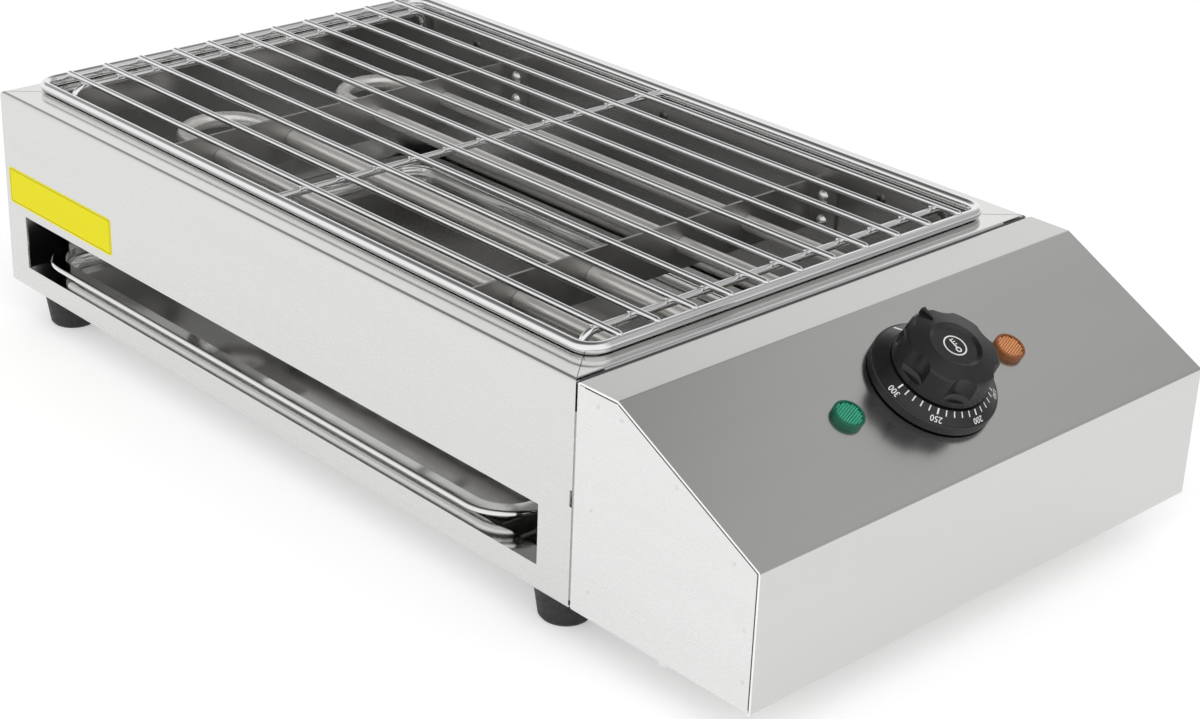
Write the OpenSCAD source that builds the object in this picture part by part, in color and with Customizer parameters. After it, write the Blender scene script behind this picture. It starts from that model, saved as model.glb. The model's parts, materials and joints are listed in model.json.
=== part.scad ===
// Electric countertop grill: folded stainless case, lift-off wire grate, two tubular
// heating elements, slide-out water tray and a thermostat box with knob and pilot lamps.
// Modules work in the case frame: x = 0 on the centre plane, y = 0 on the control front,
// z = 0 on the case underside. placed() moves that frame onto the resting surface.

/* [Case] */
// Width of the case
body_w = 300; // [280:2:340]
// Length from the control front to the back panel
body_l = 568; // [520:2:620]
// Height of the case above its underside
body_h = 110; // [106:1:124]
// Thickness of the case sheet
sheet_t = 1; // [0.8:0.1:1.2]
// Outside radius of the folded edges
bend_r = 2; // [1.6:0.1:3]
// Width of the top flange along the long sides
flange_side_w = 25; // [22:1:28]
// Width of the top flange at the two ends
flange_end_w = 21; // [20:1:26]
// Width of the bottom flanges that carry the base plate
flange_bottom_w = 12; // [10:1:14]
// Distance of the left liner wall above the tray slot
liner_slot_gap = 5; // [3:1:12]
// Underside of the other liner walls, above the foot screws
liner_low_z = 10; // [9:1:12]
// Length of the relief notches at the ends of the front flange
corner_notch_l = 17; // [12:1:22]
// Depth of the relief notches
corner_notch_w = 1.2; // [0.8:0.1:5]

/* [Tray slot] */
// Height of the slot sill above the case underside
sill_h = 13; // [11:1:15]
// Height of the slot
slot_h = 30; // [24:1:32]
// Distance from the bulkhead to the slot
slot_front_margin = 21; // [19:1:30]
// Distance from the back panel to the slot
slot_back_margin = 18; // [14:1:26]
// Depth of the inward shelf along the sill
sill_shelf_w = 10; // [6:1:14]

/* [Feet] */
// Height of the rubber feet
foot_h = 22; // [16:1:30]
// Foot diameter at the case
foot_top_d = 31; // [26:1:36]
// Foot diameter at the surface
foot_bottom_d = 24; // [18:1:28]
// Distance of the foot centres from the case sides
foot_inset_x = 22; // [19:1:30]
// Distance of the foot centres from the ends of the cooking body
foot_inset_y = 25; // [20:1:34]

/* [Grate] */
// Diameter of the rim wire
rim_d = 5.6; // [5:0.1:6.4]
// Distance of the rim wire outside the edge of the well
rim_seat = 6.5; // [4:0.5:9]
// Distance from the bulkhead to the front rim wire
rim_front_margin = 12; // [9:0.5:16]
// Distance from the back panel to the rear rim wire
rim_back_margin = 9; // [8:0.5:14]
// Corner radius of the rim at the wire centre
rim_corner_r = 10; // [7:0.5:16]
// Number of long bars
bar_n = 11; // [7:1:11]
// Distance of the outermost long bars from the rim's side wires
bar_side_gap = 18.5; // [14:0.5:22]
// Diameter of the long bars
bar_d = 3.3; // [2.8:0.1:4]
// Diameter of the cross bars
cross_d = 4; // [3.4:0.1:5]
// Distance of the end cross bars from the rim wires
cross_inset = 17; // [12:1:30]
// Bend radius of the locating legs at the ends of the cross bars
cross_leg_r = 8; // [6:0.5:10]
// Straight length of the locating legs
cross_leg_l = 4; // [2:0.5:8]
// Clearance of the locating legs in the well
locating_gap = 2; // [1:0.5:4]
// Clearance under a piece that simply rests
rest_gap = 0.2; // [0.1:0.05:0.3]

/* [Heating elements] */
// Diameter of the element tubes
tube_d = 8.5; // [7:0.1:9]
// Distance between the two legs of one element
leg_pitch = 47; // [42:1:50]
// Distance between the centre lines of the two elements
element_pitch = 108; // [102:1:114]
// Depth of the element centreline below the top of the case
element_drop = 24; // [20:1:28]
// Distance from the liner's back wall to the centre of the tube bends
bend_back_margin = 52; // [44:1:70]
// Height of the support strips
strip_h = 26; // [22:1:28]
// Thickness of the support strips
strip_t = 1.5; // [1:0.1:2]
// Length of the strips' end tabs
strip_tab_l = 18; // [14:1:20]
// Distance from the bulkhead to the front strip
strip_front_y = 118; // [90:1:140]
// Distance from the back panel to the back strip
strip_back_y = 100; // [85:1:120]
// Distance of the strip screws from the plane of their strip
strip_screw_back = 9; // [7:0.5:9]

/* [Tray] */
// Distance from the front end of the slot and the well to the tray
tray_front_gap = 24; // [4:1:28]
// Distance from the back end of the slot and the well to the tray
tray_back_gap = 0.5; // [0.5:0.5:16]
// Depth of the tray
tray_depth = 9.5; // [9:0.5:12]
// Thickness of the tray sheet
tray_t = 0.8; // [0.6:0.1:1]
// Width of the rolled rim
tray_rim_w = 7; // [5:0.5:9]
// Corner radius of the tray over its rim
tray_corner_r = 26; // [22:1:36]
// Radius between the tray wall and its bottom
tray_foot_r = 6; // [4:0.5:8]
// Clearance of the tray at the right wall of the well
tray_gap = 2; // [1.5:0.5:4]
// Distance of the tray's rim behind the outer face of the case
tray_flush = 0.4; // [0.2:0.1:2]

/* [Control box] */
// Length of the control box in front of the bulkhead
ctrl_l = 109; // [104:1:124]
// Gap between the cover and the cooking body
ctrl_gap = 1; // [0.5:0.1:1.2]
// Width of the flat strip on top of the cover
cover_top_w = 24.6; // [20:0.2:30]
// Drop of the cover's slope from its top to its vertical front
slope_drop = 43.2; // [38:0.2:46]
// Width of the weld tabs behind the end plates
weld_tab_w = 11; // [8:1:12]
// Width of the cover's bottom return
cover_return_w = 24; // [20:1:28]
// Distance of the control row from the cover front
control_row_y = 42.4; // [40:0.2:44]
// Distance of each pilot lamp from the centre
lamp_x = 54.5; // [46:0.5:66]

/* [Knob] */
// Diameter of the dial skirt
skirt_d = 61; // [58:1:66]
// Height of the dial skirt
skirt_h = 8.2; // [7:0.1:10]
// Diameter of the grip at its top
grip_d = 44.6; // [42:0.2:46]
// Diameter of the plain ring at the foot of the grip
grip_foot_d = 46; // [45:0.5:48]
// Height of the grip above the skirt
grip_h = 17; // [15:0.5:24]
// Number of finger flutes
flute_n = 6; // [4:1:8]
// Radius of the finger flutes
flute_r = 9.5; // [7:0.5:12]
// Depth of the finger flutes
flute_depth = 2.9; // [1.5:0.1:3.5]
// Height of the foot ring below the finger flutes
flute_base_h = 4; // [3:0.5:5]
// Shadow gap between the skirt and the grip
grip_gap = 1; // [0.6:0.1:1.4]
// Clearance between the skirt and the cover
knob_gap = 0.8; // [0.5:0.1:1.5]
// Diameter of the spindle
spindle_d = 6; // [5:0.5:8]
// Radial clearance of the spindle in its bush
spindle_fit = 0.05; // [0.02:0.01:0.1]
// Diameter of the round insert on top of the grip
insert_d = 14; // [12:0.5:18]

/* [Pilot lamps] */
// Diameter of the lamp lens
lens_d = 15; // [13:0.5:18]
// Height of the lens above the cover
lens_h = 3; // [2:0.5:5]
// Diameter of the lamp body behind the cover
lamp_body_d = 11; // [9:0.5:11.5]
// Length of the lamp body
lamp_body_l = 22; // [16:1:26]

/* [Thermostat] */
// Width and height of the thermostat body
thermostat_w = 36; // [30:1:40]
// Depth of the thermostat body
thermostat_depth = 26; // [20:1:30]
// Distance between the thermostat's two fixing screws
thermostat_pitch = 28; // [24:1:32]
// Diameter of the sensing bulb
bulb_d = 6; // [4:0.5:7]
// Length of the sensing bulb
bulb_l = 90; // [70:5:100]
// Diameter of the capillary
capillary_d = 1.6; // [1.2:0.1:2]

/* [Cord entry] */
// Distance of the cord entry from the bulkhead
entry_back = 29; // [24:1:36]
// Height of the cord entry above the case underside
entry_z = 26; // [22:1:40]
// Bore for the mains cord
cord_bore_d = 8.4; // [7:0.1:9]
// Outside diameter of the cord bush sleeve
bush_d = 15; // [13:0.5:17]
// Diameter of the bush flange
bush_flange_d = 22; // [19:0.5:26]
// How far the bush stands out of the end plate
bush_proud = 9; // [6:0.5:14]
// Length of the bush behind the end plate
bush_inner_l = 11; // [9:0.5:14]

/* [Label] */
// Length of the plain yellow label
label_l = 100; // [80:1:110]
// Height of the label
label_h = 20.5; // [16:0.5:22]
// Corner radius of the label
label_r = 2; // [1:0.5:4]
// Thickness of the label
label_t = 0.2; // [0.1:0.05:0.4]
// Distance from the back panel to the label
label_back_margin = 4; // [3:0.5:10]
// Distance of the label above the tray slot
label_slot_gap = 5; // [3:0.5:12]

/* [Hidden] */

round_fn = 64;
small_fn = 32;
dome_fn = 96;
// Air that keeps neighbouring sheets apart
sheet_gap = 0.3;
// Clearance of a tube or screw in its hole
hole_gap = 0.3;
// Length past a face by which cutters run
cut = 1;

half_w = body_w / 2;
well_x = half_w - flange_side_w;
well_front_y = ctrl_l + flange_end_w;
well_back_y = body_l - flange_end_w;
flange_z = body_h - sheet_t;
floor_z = 2 * sheet_t;
// The cord bush and the label stick out of the sides, so the case sits off the box centre
case_x = (label_t - bush_proud) / 2;
// Small notch in the front edge of each side panel
edge_notch_z = 50;
edge_notch_h = 8;
edge_notch_w = 1.5;

slot_y0 = ctrl_l + slot_front_margin;
slot_y1 = body_l - slot_back_margin;
slot_top_z = sill_h + slot_h;
liner_left_z = slot_top_z + liner_slot_gap;
label_z = slot_top_z + label_slot_gap;

// Rivets and brackets of the liner
rivet_end_margin = 72;
rivet_drop = 8;
rivet_z = body_h - rivet_drop;
rivet_d = 3.2;
rivet_head_d = 6.5;
rivet_head_h = 1.2;
rivet_y = [ctrl_l + rivet_end_margin, (ctrl_l + body_l) / 2, body_l - rivet_end_margin];
bracket_l = 22;
bracket_h = 16;

foot_x = half_w - foot_inset_x;
foot_y0 = ctrl_l + foot_inset_y;
foot_y1 = body_l - foot_inset_y;
foot_bevel = 0.6;
foot_bevel_h = 1.5;
foot_screw_d = 5;
foot_head_d = 9;
foot_head_h = 3;
foot_head_z = -foot_h + 5;
foot_nut_h = 4;
foot_screw_l = floor_z - foot_head_z + foot_nut_h + 2;

rim_w = 2 * (well_x + rim_seat);
rim_z = body_h + rest_gap + rim_d / 2;
rim_y0 = ctrl_l + rim_front_margin;
rim_y1 = body_l - rim_back_margin;
rim_l = rim_y1 - rim_y0;
// Depth to which welded wires sink into each other
weld_sink = 0.3;
// The cross bars lie level with the underside of the rim, the long bars on top of them
cross_z = body_h + rest_gap + cross_d / 2;
bar_z = cross_z + (cross_d + bar_d) / 2 - weld_sink;
bar_pitch = (rim_w - 2 * bar_side_gap) / (bar_n - 1);
// Distance of the middle cross bar behind the middle of the grate
mid_bar_shift = 6;

leg_x = [for (s = [-1, 1], t = [-1, 1]) (s * element_pitch + t * leg_pitch) / 2];
element_z = body_h - element_drop;
tube_bend_y = well_back_y - bend_back_margin;
// Elements end behind the bulkhead with an insulator and a threaded stud
tube_end_l = 8;
tube_end_y = ctrl_l - tube_end_l;
insulator_l = 8;
stud_d = 4;
stud_l = 14;
stud_nut_d = 8;
stud_nut_h = 3.2;
stud_nut_y = 5;
collar_d = 17;
collar_h = 5;
strip_y = [ctrl_l + strip_front_y, body_l - strip_back_y];
strip_top_z = element_z + strip_h / 2;
strip_screw_below = 7.5;
strip_screw_above = 6;
strip_screw_z = [element_z - strip_screw_below, element_z + strip_screw_above];
strip_screw_d = 4;
strip_head_d = 7.6;
strip_head_h = 2.4;
strip_nut_d = 8;
strip_nut_h = 3.2;
strip_screw_end = 5;

tray_w = half_w - tray_flush + well_x - tray_gap;
tray_x = (well_x - tray_gap - half_w + tray_flush) / 2;
tray_y0 = max(slot_y0, well_front_y) + tray_front_gap;
tray_y1 = min(slot_y1, well_back_y) - tray_back_gap;
tray_l = tray_y1 - tray_y0;
tray_z = sill_h + rest_gap;
tray_curl_r = 1.6;
rail_w = 14;
rail_side_gap = 2;

slope_run = ctrl_l - ctrl_gap - cover_top_w;
slope_deg = atan2(slope_drop, slope_run);
cover_front_h = body_h - slope_drop;
cover_path = [
    [ctrl_l - ctrl_gap, body_h - weld_tab_w],
    [ctrl_l - ctrl_gap, body_h],
    [slope_run, body_h],
    [0, cover_front_h],
    [0, 0],
    [cover_return_w, 0],
];
spindle_hole_d = 11;
lens_hole_d = lamp_body_d + 2 * hole_gap;
base_screw_d = 4;
base_screw_head_d = 7.6;
base_screw_head_h = 3;
base_screw_end = 4;
base_screw_xy = [for (s = [-1, 1]) each
    [[s * (half_w - flange_bottom_w / 2 + 0.5), ctrl_l / 2], [s * (half_w - 42), 6]]];
vent_n = 7;
vent_w = 4;
vent_l = 34;
vent_pitch = 12;
vent_side_margin = 40;
vent_y = 30;

skirt_wall = 2.5;
skirt_top_z = knob_gap + skirt_h;
skirt_fall = 3.6;
skirt_edge_r = 1;
skirt_land_w = 0.8;
grip_top_z = skirt_top_z + grip_h;
grip_edge_drop = 3;
// The grip's neck joins it to the skirt inside the shadow gap
neck_d = grip_d - 8;
flute_fillet = 2.5;
recess_d = 21;
recess_depth = 1.2;
recess_slope = 2;
pointer_w = 2.6;
pointer_l = 7;
insert_h = 0.8;
spindle_in_l = 14;
spindle_out_l = 18;

thermostat_bracket_t = 1.2;
thermostat_bracket_w = 20;
thermostat_bush_h = 2;
thermostat_screw_d = 4;
thermostat_screw_l = 7;
thermostat_head_d = 7;
thermostat_head_h = 2;
thermostat_top_z = -sheet_t - thermostat_bracket_t;
thermostat_back_z = thermostat_top_z - thermostat_depth;
// Push-on terminal tabs
tab_w = 6.3;
tab_t = 0.8;
tab_l = 8;
tab_x = 10;
tab_y = 8;
bulb_clip_t = 1;
bulb_clip_w = 8;
bulb_clip_l = 14;
bulb_y = well_front_y + bulb_clip_t + bulb_d / 2;
bulb_z = element_z - tube_d / 2 - bulb_clip_t - bulb_d / 2 - 1;
bulb_x0 = -bulb_l / 2;
// Distance of the capillary's hole from the end of the bulb
capillary_run = 20;
capillary_x = bulb_x0 - capillary_run;
capillary_hole_d = capillary_d + 2.4;

lens_rim_w = 0.8;
lens_rim_h = 0.6;
lens_edge_r = 0.5;
lamp_tail_w = 4.8;
lamp_tail_l = 7;
lamp_tail_x = 2.5;
lamp_clip_d = lamp_body_d + 8;
lamp_clip_t = 1;

entry_y = ctrl_l - entry_back;
bush_flange_t = 3;
bush_nut_t = 5;
bush_tip_wall = 2;

block_size = [44, 22, 16];
block_pos = [half_w - 72, 38];
block_poles = 3;
block_screw_dy = 6;
block_screw_d = 5;
block_well_h = 6;
block_screw_h = 5;
screw_slot_w = 0.8;
earth_pos = [half_w - 38, 62];
earth_top_z = 16;
earth_d = 5;
earth_nut_d = 8;
earth_nut_h = 4;
earth_head_h = 3;
wire_d = 2.4;
// Air between a wire's end and its terminal
wire_gap = 0.3;

steel = [0.80, 0.80, 0.79];
steel_dark = [0.62, 0.62, 0.61];
polished = [0.88, 0.88, 0.88];
rubber = [0.12, 0.12, 0.12];
charcoal = [0.20, 0.21, 0.22];
ceramic = [0.92, 0.90, 0.84];
brass = [0.80, 0.66, 0.34];

// Moves the case frame onto the resting surface, centred on the whole object
module placed() {
    translate([case_x, -body_l / 2, foot_h]) children();
}

// Extrudes a profile drawn in (x, z) from y0 to y1
module along_y(y0, y1) {
    translate([0, y1, 0]) rotate([90, 0, 0]) linear_extrude(y1 - y0) children();
}

// Extrudes a profile drawn in (y, z) from x0 to x1
module along_x(x0, x1) {
    translate([x0, 0, 0]) rotate([90, 0, 90]) linear_extrude(x1 - x0) children();
}

// Local frame on the cover slope: +Z out of the sheet, +Y up the slope
module on_slope(x) {
    translate([x, control_row_y, cover_front_h + control_row_y * tan(slope_deg)])
        rotate([slope_deg, 0, 0]) children();
}

function unit(v) = v / norm(v);
function left_of(v) = [-v[1], v[0]];

// Points of the arc that rounds corner b of path a-b-c, r away from its centre line
function bend_arc(a, b, c, r_bend, r, steps = 6) =
    let (
        u = unit(b - a),
        w = unit(c - b),
        turn = acos(max(-1, min(1, u * w))),
        centre = b - u * r_bend * tan(turn / 2) + left_of(u) * r_bend
    )
    [for (k = [0:steps])
        let (t = turn * k / steps, n = -left_of(u))
        centre + r * [n[0] * cos(t) - n[1] * sin(t), n[0] * sin(t) + n[1] * cos(t)]];

// Outline of a folded sheet whose outer face follows a path that always turns left
function fold_outline(path, t, r_bend) =
    let (
        n = len(path),
        first = left_of(unit(path[1] - path[0])),
        last = left_of(unit(path[n - 1] - path[n - 2])),
        outer = [for (i = [1:n - 2]) each bend_arc(path[i - 1], path[i], path[i + 1], r_bend, r_bend)],
        inner = [for (i = [1:n - 2]) each bend_arc(path[i - 1], path[i], path[i + 1], r_bend, r_bend - t)]
    )
    concat(
        [path[0]], outer, [path[n - 1], path[n - 1] + last * t],
        [for (i = [len(inner) - 1:-1:0]) inner[i]], [path[0] + first * t]
    );

// Path moved sideways to its left, with sharp corners
function offset_path(path, d) =
    let (n = len(path))
    [for (i = [0:n - 1])
        let (
            a = left_of(unit(path[max(i, 1)] - path[max(i, 1) - 1])),
            b = left_of(unit(path[min(i + 1, n - 1)] - path[min(i + 1, n - 1) - 1]))
        )
        path[i] + (a + b) / (1 + a * b) * d];

module folded(path, t = sheet_t) {
    polygon(fold_outline(path, t, bend_r));
}

// Rounded rectangle centred on the origin
module round_rect(w, l, r) {
    square([w - 2 * r, l], center = true);
    square([w, l - 2 * r], center = true);
    for (x = [-1, 1], y = [-1, 1])
        translate([x * (w / 2 - r), y * (l / 2 - r)]) circle(r = r, $fn = round_fn);
}

// Runs a profile drawn in (outward, z) round a rounded rectangle
module around_rect(w, l, r) {
    for (i = [0:3]) {
        side = i % 2 == 0 ? l : w;
        reach = i % 2 == 0 ? w : l;
        rotate([0, 0, 90 * i]) {
            translate([reach / 2 - r, side / 2 - r, 0])
                rotate_extrude(angle = 90, $fn = round_fn) translate([r, 0]) children();
            translate([reach / 2, side / 2 - r, 0])
                rotate([90, 0, 0]) linear_extrude(side - 2 * r) children();
        }
    }
}

function spline_point(a, b, c, d, t) =
    0.5 * (2 * b + (c - a) * t + (2 * a - 5 * b + 4 * c - d) * t * t
        + (3 * b - a - 3 * c + d) * t * t * t);

// Smooth path through hand-placed points
function spline(p, steps) =
    let (n = len(p))
    concat(
        [for (i = [0:n - 2]) for (k = [0:steps - 1])
            spline_point(p[max(i - 1, 0)], p[i], p[i + 1], p[min(i + 2, n - 1)], k / steps)],
        [p[n - 1]]
    );

// Wire path that starts and ends with a straight stretch
function wire_path(p, steps) =
    let (n = len(p))
    concat([p[0]], spline([for (i = [1:n - 2]) p[i]], steps), [p[n - 1]]);

function tangent(path, i) = unit(path[min(i + 1, len(path) - 1)] - path[max(i - 1, 0)]);
function square_to(v, t) = unit(v - t * (v * t));
function normals(path, i = 0, n = [0.31, 0.22, 0.93]) =
    i == len(path) ? [] :
    let (m = square_to(n, tangent(path, i))) concat([m], normals(path, i + 1, m));

// Round wire along a path
module wire(path, d, sides = 8) {
    n = len(path);
    across = normals(path);
    points = [for (i = [0:n - 1]) for (k = [0:sides - 1])
        path[i] + d / 2 * (across[i] * cos(360 * k / sides)
            + cross(tangent(path, i), across[i]) * sin(360 * k / sides))];
    walls = [for (i = [0:n - 2]) for (k = [0:sides - 1]) each
        let (a = i * sides + k, b = i * sides + (k + 1) % sides)
        [[a, a + sides, b + sides], [a, b + sides, b]]];
    caps = [[for (k = [0:sides - 1]) k], [for (k = [sides - 1:-1:0]) (n - 1) * sides + k]];
    polyhedron(points, concat(walls, caps));
}

// Plan shapes that mitre the four case panels at their corners
module panel_plan(points) {
    translate([0, 0, -cut]) linear_extrude(body_h + 2 * cut) polygon(points);
}

module side_plan() {
    panel_plan([
        [-half_w - cut, ctrl_l - cut * flange_end_w / flange_side_w],
        [-well_x, well_front_y],
        [-well_x, well_back_y],
        [-half_w - cut, body_l + cut * flange_end_w / flange_side_w],
    ]);
}

module end_plan() {
    reach = half_w + cut * flange_side_w / flange_end_w;
    panel_plan([
        [-reach, body_l + cut], [-well_x, well_back_y],
        [well_x, well_back_y], [reach, body_l + cut],
    ]);
}

module side_panel() {
    difference() {
        intersection() {
            along_y(ctrl_l, body_l)
                mirror([1, 0]) folded([
                    [half_w - flange_bottom_w, 0], [half_w, 0], [half_w, body_h], [well_x, body_h],
                ]);
            side_plan();
        }
        translate([-half_w - cut, ctrl_l - cut, edge_notch_z])
            cube([sheet_t + 2 * cut, edge_notch_w + cut, edge_notch_h]);
    }
}

module left_side_panel() {
    color(steel) placed() {
        difference() {
            side_panel();
            translate([-half_w - cut, slot_y0, sill_h])
                cube([sheet_t + 2 * cut, slot_y1 - slot_y0, slot_h]);
        }
        // Shelf along the sill, folded down at its inner edge
        along_y(slot_y0, slot_y1) polygon([
            [-half_w + sheet_t, sill_h - sheet_t],
            [-half_w + sheet_t, sill_h],
            [-half_w + sheet_t + sill_shelf_w, sill_h],
            [-half_w + sheet_t + sill_shelf_w, sill_h - 4 * sheet_t],
            [-half_w + sill_shelf_w, sill_h - 4 * sheet_t],
            [-half_w + sill_shelf_w, sill_h - sheet_t],
        ]);
    }
}

module right_side_panel() {
    color(steel) placed() mirror([1, 0, 0]) side_panel();
}

module back_panel() {
    color(steel) placed() intersection() {
        along_x(-half_w, half_w) folded([
            [body_l - flange_bottom_w, 0], [body_l, 0], [body_l, body_h], [well_back_y, body_h],
        ]);
        end_plan();
    }
}

// End wall of the cooking body, with holes for the elements and tabs for the end plates
module front_bulkhead() {
    color(steel_dark) placed() {
        difference() {
            intersection() {
                translate([0, ctrl_l + body_l, 0]) mirror([0, 1, 0])
                    along_x(-half_w, half_w) folded([
                        [body_l - flange_bottom_w, 0], [body_l, 0],
                        [body_l, body_h], [well_back_y, body_h],
                    ]);
                translate([0, ctrl_l + body_l, 0]) mirror([0, 1, 0]) end_plan();
            }
            element_holes(ctrl_l, sheet_t);
            capillary_hole(ctrl_l, sheet_t);
            for (s = [-1, 1]) translate([s * half_w, ctrl_l, body_h])
                cube([2 * corner_notch_l, 2 * corner_notch_w, 2 * corner_notch_w], center = true);
        }
        for (s = [-1, 1])
            translate([s * (half_w - 1.5 * sheet_t) - sheet_t / 2, ctrl_l - weld_tab_w, 2 * bend_r])
                cube([sheet_t, weld_tab_w + sheet_t / 2, body_h - weld_tab_w - 4 * bend_r]);
    }
}

module element_holes(y, t) {
    for (x = leg_x)
        translate([x, y - cut, element_z]) rotate([-90, 0, 0])
            cylinder(d = tube_d + 2 * hole_gap, h = t + 2 * cut, $fn = round_fn);
}

module capillary_hole(y, t) {
    translate([capillary_x, y - cut, bulb_z]) rotate([-90, 0, 0])
        cylinder(d = capillary_hole_d, h = t + 2 * cut, $fn = small_fn);
}

module foot_places() {
    for (x = [-1, 1], y = [ctrl_l + foot_inset_y, body_l - foot_inset_y])
        translate([x * (half_w - foot_inset_x), y, 0]) children();
}

module base_plate() {
    color(steel_dark) placed() difference() {
        translate([-half_w + bend_r, ctrl_l + bend_r, sheet_t])
            cube([body_w - 2 * bend_r, body_l - ctrl_l - 2 * bend_r, sheet_t]);
        foot_places() translate([0, 0, -cut])
            cylinder(d = foot_screw_d + 2 * hole_gap, h = floor_z + 2 * cut, $fn = small_fn);
    }
}

// Inner walls of the fire well, hung under the top flange
module liner_left() {
    color(steel_dark) placed() {
        difference() {
            translate([-well_x - sheet_t, well_front_y, liner_left_z])
                cube([sheet_t, well_back_y - well_front_y, flange_z - liner_left_z]);
            liner_holes(-1);
        }
        translate([-half_w + sheet_t, slot_y0, liner_left_z])
            cube([flange_side_w - 2 * sheet_t, slot_y1 - slot_y0 - slot_back_margin, sheet_t]);
    }
}

module liner_right() {
    color(steel_dark) placed() difference() {
        translate([well_x, well_front_y, liner_low_z])
            cube([sheet_t, well_back_y - well_front_y, flange_z - liner_low_z]);
        liner_holes(1);
    }
}

module liner_back() {
    color(steel_dark) placed()
        translate([-well_x - sheet_t, well_back_y, liner_low_z])
            cube([2 * (well_x + sheet_t), sheet_t, flange_z - liner_low_z]);
}

module liner_front() {
    color(steel_dark) placed() difference() {
        translate([-well_x - sheet_t, well_front_y - sheet_t, liner_low_z])
            cube([2 * (well_x + sheet_t), sheet_t, flange_z - liner_low_z]);
        element_holes(well_front_y - sheet_t, sheet_t);
        capillary_hole(well_front_y - sheet_t, sheet_t);
    }
}

// Holes for rivets and strip screws through one liner side wall
module liner_holes(side) {
    for (y = rivet_y) across_liner(side, y, rivet_z, rivet_d / 2);
    for (y = strip_y, z = strip_screw_z)
        across_liner(side, y - strip_screw_back, z, strip_screw_d / 2 + hole_gap);
}

module across_liner(side, y, z, r) {
    translate([side * (well_x + sheet_t / 2), y, z]) rotate([0, 90, 0])
        cylinder(r = r, h = sheet_t + 2 * cut, center = true, $fn = small_fn);
}

// Small channels between the liner and the outer panel, under the top flange
module liner_brackets() {
    color(steel_dark) placed() for (s = [-1, 1], y = rivet_y) difference() {
        translate([s > 0 ? well_x + sheet_t : -half_w + sheet_t, y - bracket_l / 2, flange_z - bracket_h])
            cube([flange_side_w - 2 * sheet_t, bracket_l, bracket_h - bend_r]);
        translate([s > 0 ? well_x + 2 * sheet_t : -half_w + 2 * sheet_t,
                y - bracket_l / 2 - cut, flange_z - bracket_h - cut])
            cube([flange_side_w - 4 * sheet_t, bracket_l + 2 * cut, bracket_h - bend_r + cut - sheet_t]);
        translate([s * (well_x + 1.5 * sheet_t), y, rivet_z]) rotate([0, 90, 0])
            cylinder(d = rivet_d, h = 2 * sheet_t + cut, center = true, $fn = small_fn);
    }
}

module liner_rivets() {
    color(steel) placed() for (s = [-1, 1], y = rivet_y)
        translate([s * well_x, y, rivet_z]) rotate([0, -90 * s, 0]) difference() {
            union() {
                cylinder(d1 = rivet_head_d, d2 = rivet_head_d - 2, h = rivet_head_h, $fn = small_fn);
                translate([0, 0, -2 * sheet_t - 2])
                    cylinder(d = rivet_d, h = 2 * sheet_t + 2, $fn = small_fn);
            }
            translate([0, 0, -1]) cylinder(d = rivet_d / 2, h = rivet_head_h + 2, $fn = small_fn);
        }
}

module foot(x, y) {
    color(rubber) placed() translate([x, y, 0]) rotate_extrude($fn = round_fn) difference() {
        polygon([
            [0, 0], [foot_top_d / 2 - foot_bevel, 0], [foot_top_d / 2, -foot_bevel_h],
            [foot_bottom_d / 2 + foot_bevel, -foot_h + foot_bevel_h],
            [foot_bottom_d / 2 - foot_bevel, -foot_h], [0, -foot_h],
        ]);
        translate([-foot_head_d / 2 - hole_gap, -foot_h - cut])
            square([foot_head_d + 2 * hole_gap, foot_head_z + foot_h + foot_head_h + cut]);
        translate([-foot_screw_d / 2, -foot_h - cut]) square([foot_screw_d, foot_h + 2 * cut]);
    }
}

module foot_front_left() {
    foot(-foot_x, foot_y0);
}

module foot_front_right() {
    foot(foot_x, foot_y0);
}

module foot_back_left() {
    foot(-foot_x, foot_y1);
}

module foot_back_right() {
    foot(foot_x, foot_y1);
}

// Screw up through each foot, with its nut on the base plate
module foot_screws() {
    color(steel) placed() foot_places() {
        translate([0, 0, foot_head_z]) cylinder(d = foot_head_d, h = foot_head_h, $fn = small_fn);
        translate([0, 0, foot_head_z])
            cylinder(d = foot_screw_d, h = foot_screw_l, $fn = small_fn);
        translate([0, 0, floor_z]) cylinder(d = foot_head_d, h = foot_nut_h, $fn = 6);
    }
}

// Rim of thick wire that rests on the top flange
module grate_rim() {
    color(polished) placed() translate([0, (rim_y0 + rim_y1) / 2, rim_z])
        around_rect(rim_w, rim_l, rim_corner_r) circle(d = rim_d, $fn = small_fn);
}

// Long bars, bent down at both ends into the rim
module grate_bars() {
    tip_r = max(bar_z - rim_z, bar_d / 2 + weld_sink);
    color(polished) placed() for (i = [0:bar_n - 1]) translate([(i - (bar_n - 1) / 2) * bar_pitch, 0, 0]) {
        translate([0, rim_y0 + tip_r, bar_z]) rotate([-90, 0, 0])
            cylinder(d = bar_d, h = rim_l - 2 * tip_r, $fn = small_fn);
        for (s = [0, 1]) translate([0, s == 0 ? rim_y0 + tip_r : rim_y1 - tip_r, bar_z - tip_r])
            rotate([0, -90, s == 0 ? 180 : 0])
                rotate_extrude(angle = 90, $fn = round_fn) translate([tip_r, 0])
                    circle(d = bar_d, $fn = small_fn);
    }
}

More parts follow.
